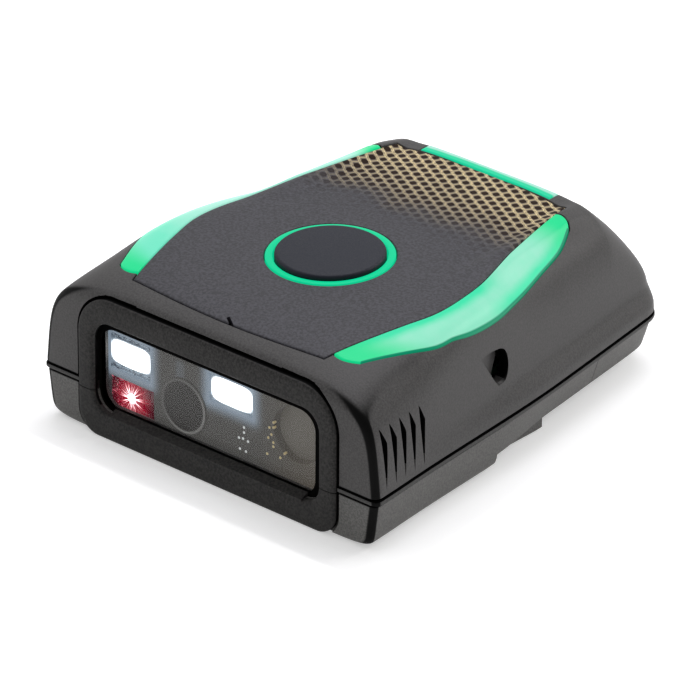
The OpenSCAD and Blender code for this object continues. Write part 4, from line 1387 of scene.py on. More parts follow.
@dataclass
class KeyFrame:
    """Place of the key on the crown, leaned with the surface."""

    form: HousingForm
    station: float = 20.5

    def __post_init__(self) -> None:
        """Works out the slope, the centre and the two axes."""
        f = self.form
        slope = f.crown_fall / f.rear_s + f.brow_drop / f.brow_l * math.exp(-self.station / f.brow_l)
        tilt = math.atan(slope)
        self.up = np.array([0, -math.sin(tilt), math.cos(tilt)])
        self.origin = f.place(0.0, self.station, float(f.crown(np.array(self.station))))

    def turned(self, name: str, profile: list, steps: int = 128) -> bpy.types.Object:
        """Solid turned about the key's axis."""
        return turned(name, np.array(profile, float), self.origin, EAST, self.up, steps)


@dataclass
class WindowFace:
    """Sizes of the window, its surround and the seats behind them."""

    opening: Outline = Outline(16.85, -3.4, 7.9, 2.4, 2.4)
    surround: Outline = Outline(19.25, -6.6, 10.9, 5.0, 2.8)
    proud: float = 0.5
    seat: float = 0.3
    rim: float = 1.0
    gap: float = 0.1
    channel: float = 0.34
    border: Outline = Outline(16.05, -3.25, 6.95, 2.2, 2.2)
    joint_z: float = -1.0
    sill_rise: float = 0.5

    def cutters(self, form: HousingForm) -> list[bpy.types.Object]:
        """Tools for the surround's seat, the window's seat and the opening behind it.

        Args:
            form: the housing's surface.

        Returns:
            The tool meshes.
        """
        flare = [(self.surround.grown(0.28), -1.2), (self.surround.grown(0.28), -0.02),
                 (self.surround.grown(self.gap), 0.2), (self.surround.grown(self.gap), self.seat)]
        glass = self.opening.grown(self.rim + self.gap)
        back = form.face_t + 1.0
        wide, inner = self.surround.grown(self.channel), self.surround.grown(-0.02)
        channel = face_prism(form, [(wide, -1.2), (wide, 0.9)])
        carve(channel, [face_prism(form, [(inner, -1.3), (inner, 1.0)])], Cut.REMOVE)
        return [channel, face_prism(form, flare), face_prism(form, [(self.opening, -1.0), (self.opening, back)]),
                face_prism(form, [(glass, self.seat + 0.4), (glass, back)])]

    def mask(self, form: HousingForm) -> None:
        """Thin near-black border between the rubber and the glass, painted shade at the edge of the opening.

        Args:
            form: the housing's surface.
        """
        outer, s = self.opening.grown(0.25), self.seat + 0.34
        rings = [(outer, s, 0.0), (self.border, s, -0.5), (self.border, s + 0.04, -0.5), (outer, s + 0.04, 0.0)]
        band = np.stack([form.place(o.ring()[:, 0] + dx, y, o.ring()[:, 1]) for o, y, dx in rings])
        band = band.transpose(1, 0, 2)
        piece = loft("window_border", band, closed=True)
        dress(piece, PAINTED_GROOVE_SHADE, "seal", "body")

    def make(self, form: HousingForm) -> None:
        """Profile carried round between the window's outline and the surround's, split at the seal's foot.

        Args:
            form: the housing's surface.
        """
        self.mask(form)
        top, floor = -self.proud, self.seat
        shares = [(0.0, floor), (0.0, top + 0.42), (0.03, top + 0.22), (0.09, top + 0.09), (0.17, top + 0.02),
                  (0.27, top), (0.55, top + 0.01), (0.78, top + 0.04), (0.88, top + 0.09), (0.95, top + 0.18),
                  (0.99, top + 0.3), (1.0, top + 0.45), (1.0, floor)]
        rings = []
        for share, s in shares:
            ring = self.opening.towards(self.surround, share).ring()
            rings.append(form.place(ring[:, 0], s, ring[:, 1]))
        band = np.stack(rings).transpose(1, 0, 2)
        half, low = self.opening.half - self.opening.radius, self.opening.low
        sill = [(top + 0.02, -0.3), (top + 0.02, 0.0), (floor + 0.35, self.sill_rise), (floor + 0.35, -0.05),
                (floor, -0.05), (floor, -0.3)]
        for name, cut in (("upper_window_surround", (self.joint_z + 0.05, 20.0)),
                          ("lower_window_surround", (-20.0, self.joint_z - 0.05))):
            piece = loft(name + "_rubber", band, closed=True)
            if name.startswith("lower"):
                ends = [form.place(x, np.array([p[0] for p in sill]), np.array([p[1] for p in sill]) + low)
                        for x in (-half, half)]
                carve(piece, [loft("tool", np.stack(ends))], Cut.ADD)
            z = tuple((c + form.seam_z) * MM for c in cut)
            carve(piece, [box_mesh((-0.03, 0.03), (-0.05, 0.0), z)], Cut.KEEP)
            shade(piece, 40)
            dress(piece, RUBBER, "rubber", "body", name)


@dataclass
class UpperHousing:
    """The upper shell, with the seats, the grooves and the key's well cut into it."""

    form: HousingForm
    key: KeyFrame
    window: WindowFace
    inlays: list[Inlay]
    vent_n: int = 5
    vent_s: float = 1.75
    vent_pitch: float = 1.75
    vent_w: float = 0.92
    vent_depth: float = 1.3
    vent_z: tuple[float, float] = (0.7, 7.8)
    notch_s: float = 26.0
    notch_l: float = 5.0
    notch_depth: float = 1.35
    notch_z: float = 5.9
    notch_h: float = 4.2
    ring_d: float = 14.7
    ring_t: float = 1.4
    ring_gap: float = 0.1
    flange_r: float = 6.85
    well_depth: float = 3.4
    well_wall: float = 1.0
    side_wall: float = 1.5
    roof: float = 1.8

    def vent(self, s: float, side: Side) -> bpy.types.Object:
        """Groove that widens upwards from a point at its foot and closes sharply at its top.

        Args:
            s: station of the groove.
            side: side of the housing.

        Returns:
            The tool mesh.
        """
        t = np.linspace(0, 1, 30)
        z = self.vent_z[0] + (self.vent_z[1] - self.vent_z[0]) * t
        full = np.minimum(t / 0.72, (1 - t) / 0.28) ** 0.85
        full = np.maximum(full, 0.01)
        front = s + self.vent_w * 0.2 * (1 - t) - 0.05 * full
        surface = self.form.side_x(np.full_like(z, s + 0.4), z)
        section = [(0.6, 0.0), (0.0, 0.0), (-1.0, 0.1), (-1.0, 0.9), (0.0, 1.0), (0.6, 1.0)]
        rings = np.stack([self.form.place(side.value * (surface + (k * self.vent_depth * full if k < 0 else k)),
                                          front + run * self.vent_w * full, z) for k, run in section], 1)
        return loft("tool", rings)

    def notch(self, side: Side) -> bpy.types.Object:
        """Scoop with a ramp that sinks towards a steep rear wall, inside a smooth closed outline.

        Args:
            side: side of the housing.

        Returns:
            The tool mesh.
        """
        f = self.form
        shape = np.array([[0, 0.52], [0.5, -0.36], [0.66, -0.46], [0.85, -0.42], [0.97, -0.22], [1, 0.05],
                          [0.94, 0.3], [0.8, 0.46], [0.52, 0.54], [0, 0.52]], float)
        ring = curve_at(shape, np.linspace(0, 1, 80, endpoint=False))
        x = float(f.upper(np.array(self.notch_s)) * f.lean(np.array(self.notch_z)))
        middle = np.array([0.62, 0.05])
        rings = []
        for out, grow in ((-2.0, 1.0), (0.05, 1.0), (0.28, 1.07), (3.0, 1.07)):
            p = middle + (ring - middle) * grow
            rings.append(f.place(side.value * (x + out), self.notch_s - self.notch_l + p[:, 0] * self.notch_l,
                                 self.notch_z + p[:, 1] * self.notch_h))
        tool = loft("tool", np.stack(rings))
        s0 = self.notch_s - self.notch_l
        ramp = [(x + 4, s0 - 1), (x + 0.3, s0 - 1), (x - self.notch_depth, self.notch_s - 0.7),
                (x - self.notch_depth, self.notch_s + 1), (x + 4, self.notch_s + 1)]
        ends = [f.place(side.value * np.array([p[0] for p in ramp]), np.array([p[1] for p in ramp]), z)
                for z in (0.5, 11.0)]
        carve(tool, [loft("tool", np.stack(ends))], Cut.KEEP)
        return tool

    def cavity(self) -> bpy.types.Object:
        """The hollow inside, less the key's well.

        Returns:
            The tool mesh.
        """
        f = self.form
        s = np.concatenate([np.linspace(f.face_t, f.rear_s, 14), np.linspace(f.rear_s, f.body_l - 1.6, 8)[1:]])
        rings = f.upper_rings(s, 10, 10)
        shut = closing(s, f.rear_s, f.body_l - 1.5, f.rear_fall_pow)[:, None]
        x = rings[..., 0] * (1 - self.side_wall / (f.front_w / 2))
        z = (rings[..., 2] / MM - f.seam_z) * (1 - self.roof / 14) * shut / np.maximum(
            closing(s, f.rear_s, f.body_l, f.rear_fall_pow)[:, None], 1e-3)
        rings = np.stack([x, rings[..., 1], (z + f.seam_z) * MM], -1)
        rings[:, [0, -1], 2] -= 0.001
        hollow = loft("tool", rings)
        r, deep = self.ring_d / 2 + self.ring_gap + self.well_wall, -self.well_depth - self.well_wall
        well = self.key.turned("tool", [(0, 3), (0, deep), (r, deep), (r, 3)], 48)
        carve(hollow, [well], Cut.REMOVE)
        return hollow

    def make(self) -> None:
        """Lofts the skin and cuts the seats, the grooves, the notches and the well."""
        f = self.form
        piece = loft("upper_housing_skin", f.upper_rings(f.stations(92, f.close_s, f.body_l, f.rear_corner_pow)))
        LOG.info("upper skin lofted")
        for inlay in self.inlays:
            carve(piece, [inlay.pocket()], Cut.REMOVE)
        r, flange, d = self.ring_d / 2 + self.ring_gap, self.flange_r, self.ring_t
        well = self.key.turned("tool", [(0, 3), (r + 0.12, 3), (r + 0.12, 0.02), (r, -0.1), (r, -d), (flange, -d),
                                        (flange, -self.well_depth), (0, -self.well_depth)])
        vents = [self.vent(self.vent_s + k * self.vent_pitch, side) for k in range(self.vent_n) for side in Side]
        notches = [self.notch(side) for side in Side]
        carve(piece, [self.cavity(), well, *vents, *notches, *self.window.cutters(f)], Cut.REMOVE)
        shade(piece)
        dress(piece, SHELL, "shell", "body", "upper_housing")
        self.paint_recess_shade(piece)

    def paint_recess_shade(self, piece: bpy.types.Object) -> None:
        """Gives the faces deep inside the grooves, the notches and the surround's channel the near-black finish, as
        painted shade.

        Args:
            piece: the carved shell.
        """
        f = self.form
        x, s, z = (face_middles(piece) / MM - np.array([0, f.face_y, f.seam_z])).T
        depth = f.side_x(s, np.maximum(z - f.fill(x, s), 0)) - np.abs(x)
        notch = (np.abs(s - self.notch_s + 2.5) < 3) & (z < self.notch_z + 3)
        vents = (depth > 0.16) & (z > 0.3) & (z < 9.5) & (s > 1.2) & (s < 15)
        side = vents | notch & (depth > 0.3) & (s > self.notch_s - 0.8)
        front = (s > 0.1) & (s < 1.2) & (self.window.surround.away(x, z) < 0.37)
        seats = (f.top_z(x, s) - z > 0.13) & (depth > 0.13) & (z > 4) & (s > 2.2) & (s < 50.5) & ~notch
        # painted shade in the vents, the notches' rear walls, the surround's channel and the inlays' seats
        paint_groove_shade(piece, side | front | seats)


@dataclass
class LowerShell:
    """Lower housing and rear end cover: a square keel with a chin, a docking foot and a raised rear."""

    form: HousingForm
    window: WindowFace
    gasket_h: float = 1.0
    rear_rise: float = 2.1
    chin_l: float = 23.4
    foot_s: tuple[float, float] = (25.0, 34.2)
    foot_w: float = 39.6
    foot_edge: float = 0.4
    cover_s: float = 43.6
    joint_gap: float = 0.1
    front_boss: tuple[float, float] = (20.2, 6.2)
    rear_boss: tuple[float, float] = (14.72, 49.2)
    screw_r: float = 0.9
    head_r: float = 1.5
    head_t: float = 1.2
    contact_half: float = 5.0

    def span(self, x: tuple, s: tuple, z: tuple) -> bpy.types.Object:
        """Box tool between bounds across, along the body and above the table, in millimetres."""
        f = self.form
        return box_mesh(tuple(v * MM for v in x), tuple((v + f.face_y) * MM for v in s), tuple(v * MM for v in z))

    def bores(self, at: tuple[float, float], floor: float) -> list[bpy.types.Object]:
        """Screw hole and counterbore on both sides.

        Args:
            at: place across and station of the screw.
            floor: height of the face that its head sinks into.

        Returns:
            The tool meshes of both sides.
        """
        tools = []
        for side in Side:
            centre = np.array([side.value * at[0] * MM, (at[1] + self.form.face_y) * MM, 0.0])
            steps = [(0, -1), (self.head_r + 0.15, -1), (self.head_r + 0.15, floor - 0.02), (self.head_r, floor + 0.12),
                     (self.head_r, floor + self.head_t), (self.screw_r, floor + self.head_t), (self.screw_r, 6.0),
                     (0, 6.0)]
            tools.append(turned("tool", np.array(steps, float), centre, EAST, UP, 40))
        return tools

    def shell(self, name: str) -> bpy.types.Object:
        """The keel before it is parted: outside, step, foot, hollow and window.

        Args:
            name: name of the piece.

        Returns:
            The new object.
        """
        f = self.form
        keel_l = f.body_l - f.keel_inset
        piece = loft(name, f.keel_rings(f.stations(60, f.close_s - 1, keel_l, f.keel_corner_pow), 0.0, f.lower_h, 0.0))
        z_top, z_low = f.seam_z - self.gasket_h, self.rear_rise
        seat = self.span(ACROSS, (BEFORE, BEHIND), (z_top, z_top + 5))
        half = self.window.surround.half
        carve(seat, [self.span((-half, half), (-6, f.face_t), (0, z_top + 6))], Cut.REMOVE)
        carve(piece, [seat, self.span(ACROSS, (self.chin_l, BEHIND), (-1, z_low))], Cut.REMOVE)
        w, edge = self.foot_w / 2, self.foot_edge
        rings = []
        for z, g in ((0.0, -edge), (edge, 0.0), (z_low + 0.4, 0.0)):
            x, (s0, s1) = w + g, self.foot_s
            corner = np.array([[-x, s0 - g], [x, s0 - g], [x, s1 + g], [-x, s1 + g]])
            rings.append(f.place(corner[:, 0], corner[:, 1], z - f.seam_z))
        carve(piece, [loft("tool", np.stack(rings))], Cut.ADD)
        s = np.concatenate([np.linspace(f.face_t, f.close_s - 1, 8), np.linspace(f.close_s - 1, keel_l - 1.6, 8)[1:]])
        for depth, end in ((f.lower_h - f.floor_t, self.chin_l - f.wall_t),
                           (f.lower_h - self.rear_rise - f.floor_t, BEHIND)):
            hollow = loft("tool", f.keel_rings(s, f.wall_t, depth, 2.0, 12))
            carve(hollow, [self.span(ACROSS, (0, end), (-1, 12))], Cut.KEEP)
            carve(piece, [hollow], Cut.REMOVE)
        g = self.contact_half
        mid = sum(self.foot_s) / 2
        ledge = self.rear_rise - 0.2
        tools = [self.span((-g - 1.4, g + 1.4), (mid - 2.6, mid + 2.6), (-1, ledge)),
                 self.span((-g - 2.2, g + 2.2), (mid - 3.4, mid + 3.4), (ledge, f.seam_z))]
        carve(piece, [*tools, *self.bores(self.front_boss, 0.0), *self.bores(self.rear_boss, z_low),
                      *self.window.cutters(f)], Cut.REMOVE)
        return piece

    def make(self) -> None:
        """Parts the shell at the cover's joint and dresses both pieces."""
        rear = (self.cover_s + self.joint_gap, BEHIND)
        for node, s in (("lower_housing", (BEFORE, self.cover_s)), ("rear_end_cover", rear)):
            piece = self.shell(node + "_skin")
            carve(piece, [self.span(ACROSS, s, (-1, 12))], Cut.KEEP)
            shade(piece)
            dress(piece, LOWER, "lower_shell", "body", node)


@dataclass
class SeamSeal:
    """Seal between the shells: a proud strip with a narrow groove above and below it."""

    form: HousingForm
    proud: float = 0.08
    depth: float = 0.8
    height: float = 1.0
    upper_groove: float = 0.28
    lower_groove: float = 0.24
    start_x: float = 19.4

    def path(self, o: float) -> Array:
        """Plan path set in by o: front run, corner arc, side curve and superellipse rear corner, both sides.

        Args:
            o: distance inside the housing's outline.

        Returns:
            Rows of across and station.
        """
        f = self.form
        end = f.body_l - o
        arc = f.face_edge_r * (1 - np.cos(np.linspace(0, math.pi / 2, 10)))
        along = np.concatenate([arc, np.linspace(f.face_edge_r, f.close_s, 70)[1:]])
        side_s = o + (end - o) * along / f.body_l
        side_x = f.taper(side_s) - o - f.edge_inset(along)
        phi = np.linspace(0, math.pi / 2, 60)[1:]
        start_s = side_s[-1]
        rear_s = start_s + (end - start_s) * np.sin(phi) ** (2 / f.rear_corner_pow)
        rear_x = (f.taper(rear_s) - o) * np.cos(phi) ** (2 / f.rear_corner_pow)
        run_x = np.linspace(self.start_x, side_x[0], 8)[:-1]
        x = np.concatenate([run_x, side_x, rear_x])
        s = np.concatenate([np.full_like(run_x, o), side_s, rear_s])
        return np.stack([np.concatenate([x, -x[-2::-1]]), np.concatenate([s, s[-2::-1]])], -1)

    def make(self) -> None:
        """Carries the strip's section along the plan path."""
        low, r = -self.height, 0.1
        top, bottom, out = -self.upper_groove, low + self.lower_groove, -self.proud
        deep = self.depth
        section = [(1.3, 0.0), (deep, 0.0), (deep, top), (out + r, top), (out + 0.3 * r, top - 0.3 * r),
                   (out, top - r), (out, bottom + r), (out + 0.3 * r, bottom + 0.3 * r), (out + r, bottom),
                   (deep, bottom), (deep, low), (1.3, low)]
        paths = [self.path(o) for o, _ in section]
        rings = np.stack([self.form.place(p[:, 0], p[:, 1], z) for p, (_, z) in zip(paths, section)], 1)
        piece = loft("seam_seal", rings)
        shade(piece, 35)
        dress(piece, SEAL, "seal", "body", "seam_gasket")
        z = face_middles(piece)[:, 2] / MM - self.form.seam_z
        # painted shade: the faces of the grooves above and below the strip take the near-black finish
        paint_groove_shade(piece, (z > top - 0.02) | (z < bottom + 0.02))


@dataclass
class Inlays:
    """Cover plate and the three light guides."""

    form: HousingForm
    key: KeyFrame
    plate: PlatePlan = field(init=False)
    guides: list[GuidePlan] = field(init=False)
    rear: RearGuidePlan = field(init=False)
    plate_t: float = 0.8
    guide_t: float = 1.0
    ring_d: float = 14.7
    ring_gap: float = 0.1
    pry: tuple = ((2.3, 2.1), (0.1, 3.5))
    pry_half: float = 0.19
    guide_proud: float = 0.06

    def __post_init__(self) -> None:
        """Plans that share the plate's edge."""
        self.plate = PlatePlan(self.form, self.plate_t)
        self.guides = [GuidePlan(self.form, self.guide_t, plate=self.plate, side=side) for side in Side]
        self.rear = RearGuidePlan(self.form, self.guide_t, plate=self.plate)

    def every(self) -> list[Inlay]:
        """All four plans."""
        return [self.plate, *self.guides, self.rear]

    def make(self) -> None:
        """Builds the plate with its key hole and pry notch, and the guides."""
        piece = self.plate.body("cover_plate")
        r = self.ring_d / 2 + self.ring_gap
        hole = self.key.turned("tool", [(0, 3), (r + 0.15, 3), (r + 0.15, 0.03), (r, -0.12), (r, -3), (0, -3)])
        f, (start, stop) = self.form, np.array(self.pry)
        along = (stop - start) / np.linalg.norm(stop - start)
        off = self.pry_half * np.array([-along[1], along[0]])
        corner = np.stack([start - off, start + off, stop + off, stop - off])
        ends = [f.place(corner[:, 0], corner[:, 1], z) for z in (5.0, 16.0)]
        carve(piece, [hole, loft("tool", np.stack(ends))], Cut.REMOVE)
        shade(piece, 40)
        dress(piece, PLATE, "plate", "body", "top_cover_plate")
        for finish, plan in zip(GUIDES, [*self.guides, self.rear]):
            piece = plan.body(finish.name + "_lit", self.guide_proud)
            shade(piece, 40)
            dress(piece, finish, "light_guide", "body", finish.name)


@dataclass
class Key:
    """Round key cap with a lit ring round it."""

    place: KeyFrame
    cap_d: float = 12.6
    ring_d: float = 14.7
    gap: float = 0.15
    proud: float = 0.56
    dome: float = 0.2
    edge: float = 0.45
    ring_t: float = 1.4
    flange_t: float = 0.6
    flange: float = 0.35
    stem_r: float = 1.3
    stem_play: float = 0.1
    pad_h: float = 1.4
    travel: float = 0.5

    def pad(self) -> None:
        """Turns the return pad's conical section."""
        r, low, hole = self.cap_d / 2, -self.ring_t - self.flange_t, self.stem_r + 0.6
        base = low - self.pad_h
        section = [(hole, base), (hole, low - 0.1), (hole + 0.1, low), (r - 2.1, low), (r - 2, low - 0.1),
                   (r - 0.5, base)]
        piece = self.place.turned("key_pad_soft", section)
        shade(piece, 35)
        dress(piece, PAD, "pad", "body", "key_return_pad")
        tuple(self.place.up)
        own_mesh(piece)

    def make(self) -> None:
        """Turns the cap's domed profile and the ring's section about the key's axis."""
        r, top = self.cap_d / 2, self.proud
        angles = np.linspace(0, math.pi / 2, 9)
        rim = [(r - self.edge + self.edge * math.cos(a), top - self.edge + self.edge * math.sin(a)) for a in angles]
        face = [((r - self.edge) * k, top + self.dome * (1 - k * k)) for k in np.linspace(1, 0, 14)[1:]]
        stem_end = (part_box("key_cap")[0].z - self.place.origin[2]) / MM + self.stem_play
        low = -self.ring_t - self.flange_t
        profile = [(0, stem_end), (self.stem_r, stem_end), (self.stem_r, low), (r + self.flange, low),
                   (r + self.flange, -self.ring_t - 0.05), (r, -self.ring_t - 0.05), *rim, *face]
        cap = self.place.turned("key_cap_soft", profile)
        shade(cap, 35)
        dress(cap, KEY, "key", "key", "key_cap")
        inner, outer, high = r + self.gap, self.ring_d / 2, 0.06
        section = [(inner, -self.ring_t), (inner, high - 0.12), (inner + 0.04, high - 0.04), (inner + 0.12, high),
                   (outer - 0.14, high), (outer - 0.05, high - 0.05), (outer, high - 0.14), (outer, -self.ring_t)]
        ring = self.place.turned("key_ring_lit", section)
        shade(ring, 35)
        dress(ring, RING, "light_guide", "body", "key_light_ring")
        self.pad()


@dataclass
class ScanEngine:
    """What shows through the window: lamp optics, red aimer, camera, milky lens and solder dots."""

    form: HousingForm
    optics_s: float = 2.1
    lens_t: float = 3.0
    lamp_left: tuple = ((-13.4, 3.5), (6.4, 4.6))
    lamp_right: tuple = ((1.9, 4.1), (6.6, 3.5))
    aimer: tuple = ((-13.1, -1.5), (6.8, 3.8))
    camera: tuple[float, float] = (-5.1, 0.3)
    disc_r: float = 3.45
    # painted patch of light at the camera's neck
    neck: Patch = Patch((-5.7, 4.4), (0.2, 0.9), 1.0, 0.12)
    dot_r: float = 0.17
    white_dots: tuple = ((3.91, 0.83), (3.91, 0.2), (3.75, -0.6), (3.15, -0.69), (3.29, -2.02), (4.5, -0.71),
                         (4.19, -2.07))
    gold_dots: tuple = ((8.28, 3.02), (8.27, 2.39), (7.67, 2.18), (7.97, 1.41), (7.51, 0.87), (8.26, 0.51),
                        (8.26, 0.01), (7.35, -1.19), (9.3, -1.0), (9.91, -0.28))

    def optic(self, name: str, at: tuple, size: tuple) -> bpy.types.Object:
        """Block with a shallow dome in front and ridges round it: depth by the larger share from the middle.

        Args:
            name: name of the piece.
            at: its middle across and in height.
            size: its width and height.

        Returns:
            The new object, with its UV map.
        """
        n = 49
        u, v = np.meshgrid(np.linspace(-1, 1, n), np.linspace(-1, 1, n))
        far = np.maximum(np.abs(u), np.abs(v))
        ridge = 0.10 * np.abs(((far - 0.7) * 10) % 1 - 0.5) * 2
        front = np.where(far < 0.7, 0.10 + 0.25 * (u * u + v * v), 0.22 + ridge)
        half = [(c - 0.1) / 2 for c in size]
        x, z = at[0] + half[0] * u, at[1] + half[1] * v
        top = self.form.place(x, self.optics_s + front, z)
        back = self.form.place(x, self.optics_s + self.lens_t, z)
        uv = np.stack([(u + 1) / 2, (v + 1) / 2], -1)
        rim = rim_index(n, n)
        side = self.form.place(x, self.optics_s + 0.5, z).reshape(-1, 3)[rim][None]
        return plug(name, top, side, back, uv)

    def make(self) -> None:
        """Builds the optics and dresses the engine's frame and lenses."""
        for side, (at, size), share in (("left", self.lamp_left, (0.9, 0.63)),
                                        ("right", self.lamp_right, (0.89, 0.86))):
            piece = self.optic(f"lamp_lens_{side}_lit", at, size)
            shade(piece, 30)
            dress(piece, LampGlow(f"lamp_optic_{side}", share), "lamp_optic", "body", f"lamp_lens_{side}")
        piece = self.optic("aimer_lens_lit", *self.aimer)
        shade(piece, 30)
        dress(piece, StarGlow("aimer_optic"), "aimer_optic", "body", "aimer_lens")
        seam = self.form.seam_z
        # pools of painted lamp light round both lamps
        lamps = tuple(Patch((at[0], at[1] + seam), (size[0] / 2 - 0.1, size[1] / 2 - 0.1))
                      for at, size in (self.lamp_left, self.lamp_right))
        neck = replace(self.neck, at=(self.neck.at[0], self.neck.at[1] + seam))
        dress_node("engine_chassis", OpticsFrame("optics_frame", patches=(*lamps, neck)))
        self.disc()
        self.dots("solder_white", self.white_dots, (0.62, 0.64, 0.64), 0.7)
        self.dots("solder_gold", self.gold_dots, (0.46, 0.38, 0.20), 0.6)
        dress_node("camera_barrel", MouldedPlastic("barrel", (0.045, 0.045, 0.043), roughness=0.4))
        dress_node("camera_lens", MouldedPlastic("lens", (0.06, 0.06, 0.058), roughness=0.15, grain_depth=0.0,
                                                 mottling=0.05, specular=0.6))
        # the milky lens gets the same painted glow, a little lighter
        dress_node("side_lens", OpticsFrame("diffuser", color=(0.05, 0.048, 0.043), ground=(0.060, 0.057, 0.051),
                                            warm=(0.068, 0.062, 0.053)))

    def disc(self) -> None:
        """Thin cover with a rounded edge in front of the camera."""
        origin = self.form.place(self.camera[0], self.optics_s, self.camera[1])
        r = self.disc_r
        section = [(0.0, -0.14), (r - 0.1, -0.14), (r - 0.03, -0.1), (r, -0.03), (r, 0.2), (0.0, 0.2)]
        piece = turned("camera_cover", np.array(section), origin, EAST, NORTH)
        shade(piece, 35)
        finish = SmokedDisc("camera_cover", (self.camera[0], self.camera[1] + self.form.seam_z))
        dress(piece, finish, "optics_frame", "body")

    def dots(self, name: str, at: tuple, color: Color, glow: float) -> None:
        """Small solder domes on the engine's front: one half sphere moved to every place as whole arrays.

        Args:
            name: name of the piece.
            at: places across and in height.
            color: colour of the solder.
            glow: how bright its painted light stands behind the window.
        """
        angle = np.linspace(0, 2 * math.pi, 16, endpoint=False)[None, :]
        rise = np.linspace(0, math.pi / 2, 6)[:, None]
        r = self.dot_r
        dome = np.stack([r * np.cos(rise) * np.cos(angle), 0.05 - r * np.sin(rise) + 0 * angle,
                         r * np.cos(rise) * np.sin(angle)], -1)
        foot = dome[:1] * np.array([1, 0, 1]) + np.array([0, 0.3, 0])
        shape = np.concatenate([foot * np.array([0, 1, 0]), foot, dome])
        spots = np.array(at)
        centre = np.stack([spots[:, 0], np.zeros(len(spots)), spots[:, 1]], -1)[:, None, None]
        points = (shape[None] + centre).reshape(-1, 3)
        count = shape.shape[0] * shape.shape[1]
        faces = grid_faces(shape.shape[0], 16, True)[None] + (np.arange(len(spots)) * count)[:, None, None]
        piece = build(name, self.form.place(points[:, 0], points[:, 1] + self.optics_s, points[:, 2]),
                      faces.reshape(-1, 4).tolist())
        shade(piece, 50)
        dress(piece, Solder(name, color, glow), "contact", "body")


class InnerParts:
    """Finishes of the pieces inside the housing and under it."""

    def make(self) -> None:
        """Gives every CAD node that still shows its own finish."""
        board = MouldedPlastic("circuit_board", (0.03, 0.09, 0.05), roughness=0.35, grain_depth=0.004)
        chip = MouldedPlastic("chip", (0.72, 0.66, 0.42), roughness=0.4, grain_depth=0.002, mottling=0.08)
        steel = Metal("shield", (0.62, 0.62, 0.62))
        screw = Metal("screw", (0.5, 0.5, 0.5), 0.4)
        black = MouldedPlastic("buzzer", (0.03, 0.03, 0.03))
        finishes = {
            "scan_window": ClearPane("window"), "window_gasket": SEAL,
            "key_switch": steel, "engine_board": board, "main_board": board,
            "image_sensor": Metal("sensor", (0.15, 0.17, 0.2), 0.2), "lamp_chips": chip, "aimer_chip": chip,
            "indicator_chips": chip,
            "engine_flex": MouldedPlastic("flex", (0.45, 0.24, 0.05), roughness=0.3, grain_depth=0.002),
            "radio_shield": steel, "battery": Metal("battery", (0.45, 0.46, 0.48), 0.3),
            "battery_tape": MouldedPlastic("tape", (0.7, 0.68, 0.6), roughness=0.8),
            "vibration_motor": Metal("motor", (0.55, 0.55, 0.56)), "buzzer": black,
            "contact_block": MouldedPlastic("contact_body", (0.03, 0.03, 0.033)),
            "contact_pins": Metal("contact", (0.83, 0.62, 0.27), 0.22),
            "housing_screws": screw, "board_screws": screw,
        }
        for node, finish in finishes.items():
            dress_node(node, finish)


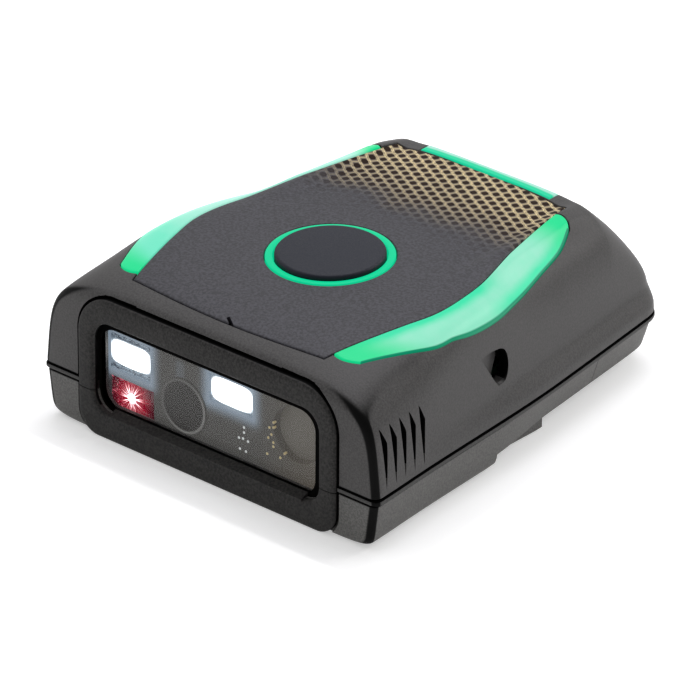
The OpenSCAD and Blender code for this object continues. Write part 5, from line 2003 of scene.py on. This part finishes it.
@dataclass
class Studio:
    """Pale floor, soft light and the photograph's camera."""

    azimuth: float = 41.36
    elevation: float = 27.37
    roll: float = 0.34
    lens: float = 308.57
    sensor: float = 36.0
    place_mm: tuple[float, float, float] = (397.53, -456.95, 318.67)
    floor_half: float = 1.6
    world_level: float = 0.80
    dim_side: tuple[float, float, float] = (0.75, -0.62, 0.2)
    dim_share: float = 0.30
    base_half: float = 24.3
    base_end: float = 29.3
    base_taper: float = 0.1
    # reach of the painted shadow round the base
    shade_reach: tuple[float, float] = (6.0, 4.6)
    floor_glow_painted_shadow: tuple[float, float] = (0.56, 0.40)
    floor_least: float = 0.12
    lamps: tuple = (("soft_top", (-0.15, 0.25, 0.75), 0.6, 3.0, (0.95, 0.94, 1.0)),
                    ("soft_front", (0.5, -0.5, 0.5), 0.5, 0.25, (1.0, 0.98, 0.94)),
                    ("soft_rear", (0.13, 0.24, 0.16), 0.12, 0.22, (1.0, 0.98, 0.96)))

    @staticmethod
    def stand(name: str, data: bpy.types.ID, axes: tuple, at: Array) -> bpy.types.Object:
        """Puts a camera or a lamp into the scene.

        Args:
            name: name of the object.
            data: the camera or the light.
            axes: its directions to the right, up and backwards.
            at: its place in metres.

        Returns:
            The new object.
        """
        thing = bpy.data.objects.new(name, data)
        bpy.context.scene.collection.objects.link(thing)
        matrix = np.eye(4)
        matrix[:3] = np.stack([*axes, at], 1)
        thing.matrix_world = Matrix(matrix.tolist())
        return thing

    def camera(self) -> None:
        """Long lens turned to the azimuth, elevation and roll of the photograph."""
        a, e, r = (math.radians(v) for v in (self.azimuth, self.elevation, self.roll))
        right0 = np.array([math.cos(a), math.sin(a), 0])
        up0 = np.array([-math.sin(a) * math.sin(e), math.cos(a) * math.sin(e), math.cos(e)])
        back = np.array([math.sin(a) * math.cos(e), -math.cos(a) * math.cos(e), math.sin(e)])
        right, up = math.cos(r) * right0 + math.sin(r) * up0, -math.sin(r) * right0 + math.cos(r) * up0
        data = bpy.data.cameras.new("camera")
        data.lens, data.sensor_width, data.clip_end = self.lens, self.sensor, 20.0
        bpy.context.scene.camera = self.stand("camera", data, (right, up, back), np.array(self.place_mm) * MM)

    def floor(self) -> None:
        """Large pale floor that stays white to the camera where no shadow falls, with a painted shadow: its glow drops
        in a band round the base.
        """
        h = self.floor_half
        mesh = bpy.data.meshes.new("studio_floor")
        mesh.from_pydata([(-h, -h, 0), (h, -h, 0), (h, h, 0), (-h, h, 0)], [], [(0, 1, 2, 3)])
        floor = bpy.data.objects.new("studio_floor", mesh)
        bpy.context.scene.collection.objects.link(floor)
        n = Nodes("floor")
        paths = n.node("ShaderNodeLightPath")
        seen = n.math("MAXIMUM", paths.outputs["Is Camera Ray"],
                      n.math("MAXIMUM", paths.outputs["Is Glossy Ray"], paths.outputs["Is Transmission Ray"]))
        x, y, _ = n.axes()
        end = self.base_end * MM
        half = n.math("SUBTRACT", self.base_half * MM, n.math("MULTIPLY", n.math("ADD", y, end), self.base_taper))
        legs = [n.math("SUBTRACT", n.math("ABSOLUTE", x), half), n.math("SUBTRACT", n.math("ABSOLUTE", y), end)]
        # painted shadow: the glow drops in a band round the base
        near = n.ramp(n.far(*(n.math("MAXIMUM", leg, 0.0) for leg in legs)), *(v * MM for v in self.shade_reach))
        lit = n.math("MULTIPLY", seen, n.ramp(near, 0.0, 1.0, *self.floor_glow_painted_shadow))
        glow = n.math("MAXIMUM", lit, self.floor_least)
        floor.data.materials.append(n.finish(Base_Color=(0.82, 0.82, 0.82), Roughness=0.9, Specular_IOR_Level=0.1,
                                             Emission_Color=WHITE, Emission_Strength=glow))

    def world(self) -> None:
        """Light from all sides, dimmer towards the right front, plain white to the camera."""
        n = Nodes("studio", world=True)
        bpy.context.scene.world = n.owner
        paths = n.node("ShaderNodeLightPath")
        inputs = {0: n.coords.outputs["Generated"], 1: self.dim_side}
        towards = n.node("ShaderNodeVectorMath", inputs, operation="DOT_PRODUCT").outputs["Value"]
        level = n.ramp(towards, -0.2, 0.9, self.world_level, self.world_level * self.dim_share)
        light = n.node("ShaderNodeBackground", {0: WHITE, 1: level})
        white = n.node("ShaderNodeBackground", {0: WHITE, 1: 1.0})
        seen = n.math("MAXIMUM", paths.outputs["Is Camera Ray"], paths.outputs["Is Transmission Ray"])
        mix = n.node("ShaderNodeMixShader", {0: seen, 1: light.outputs[0], 2: white.outputs[0]})
        n.tree.links.new(mix.outputs[0], n.out.inputs[0])

    def lamp(self, name: str, at: tuple, size: float, power: float, color: Color) -> None:
        """Square soft box that faces the object.

        Args:
            name: name of the lamp.
            at: its place in metres.
            size: its side in metres.
            power: its power in watts.
            color: its colour.
        """
        data = bpy.data.lights.new(name, "AREA")
        data.size, data.energy, data.color = size, power, color
        back = np.array(at) / np.linalg.norm(at)
        side = np.cross(UP, back)
        side = side / np.linalg.norm(side)
        self.stand(name, data, (side, np.cross(back, side), back), at)

    def make(self) -> None:
        """Camera, floor, world and the soft boxes."""
        self.camera()
        self.floor()
        self.world()
        for name, at, size, power, color in self.lamps:
            self.lamp(name, at, size, power, color)
        bpy.context.scene.view_settings.view_transform = "Standard"


def main() -> None:
    """Builds the scene, sub-assembly by sub-assembly."""
    logging.basicConfig(level=logging.INFO, format="%(message)s")
    Studio().make()
    form = HousingForm.from_frame()
    key = KeyFrame(form)
    window = WindowFace()
    inlays = Inlays(form, key)
    UpperHousing(form, key, window, inlays.every()).make()
    LowerShell(form, window).make()
    window.make(form)
    SeamSeal(form).make()
    inlays.make()
    Key(key).make()
    ScanEngine(form).make()
    InnerParts().make()


if __name__ == "__main__":
    main()
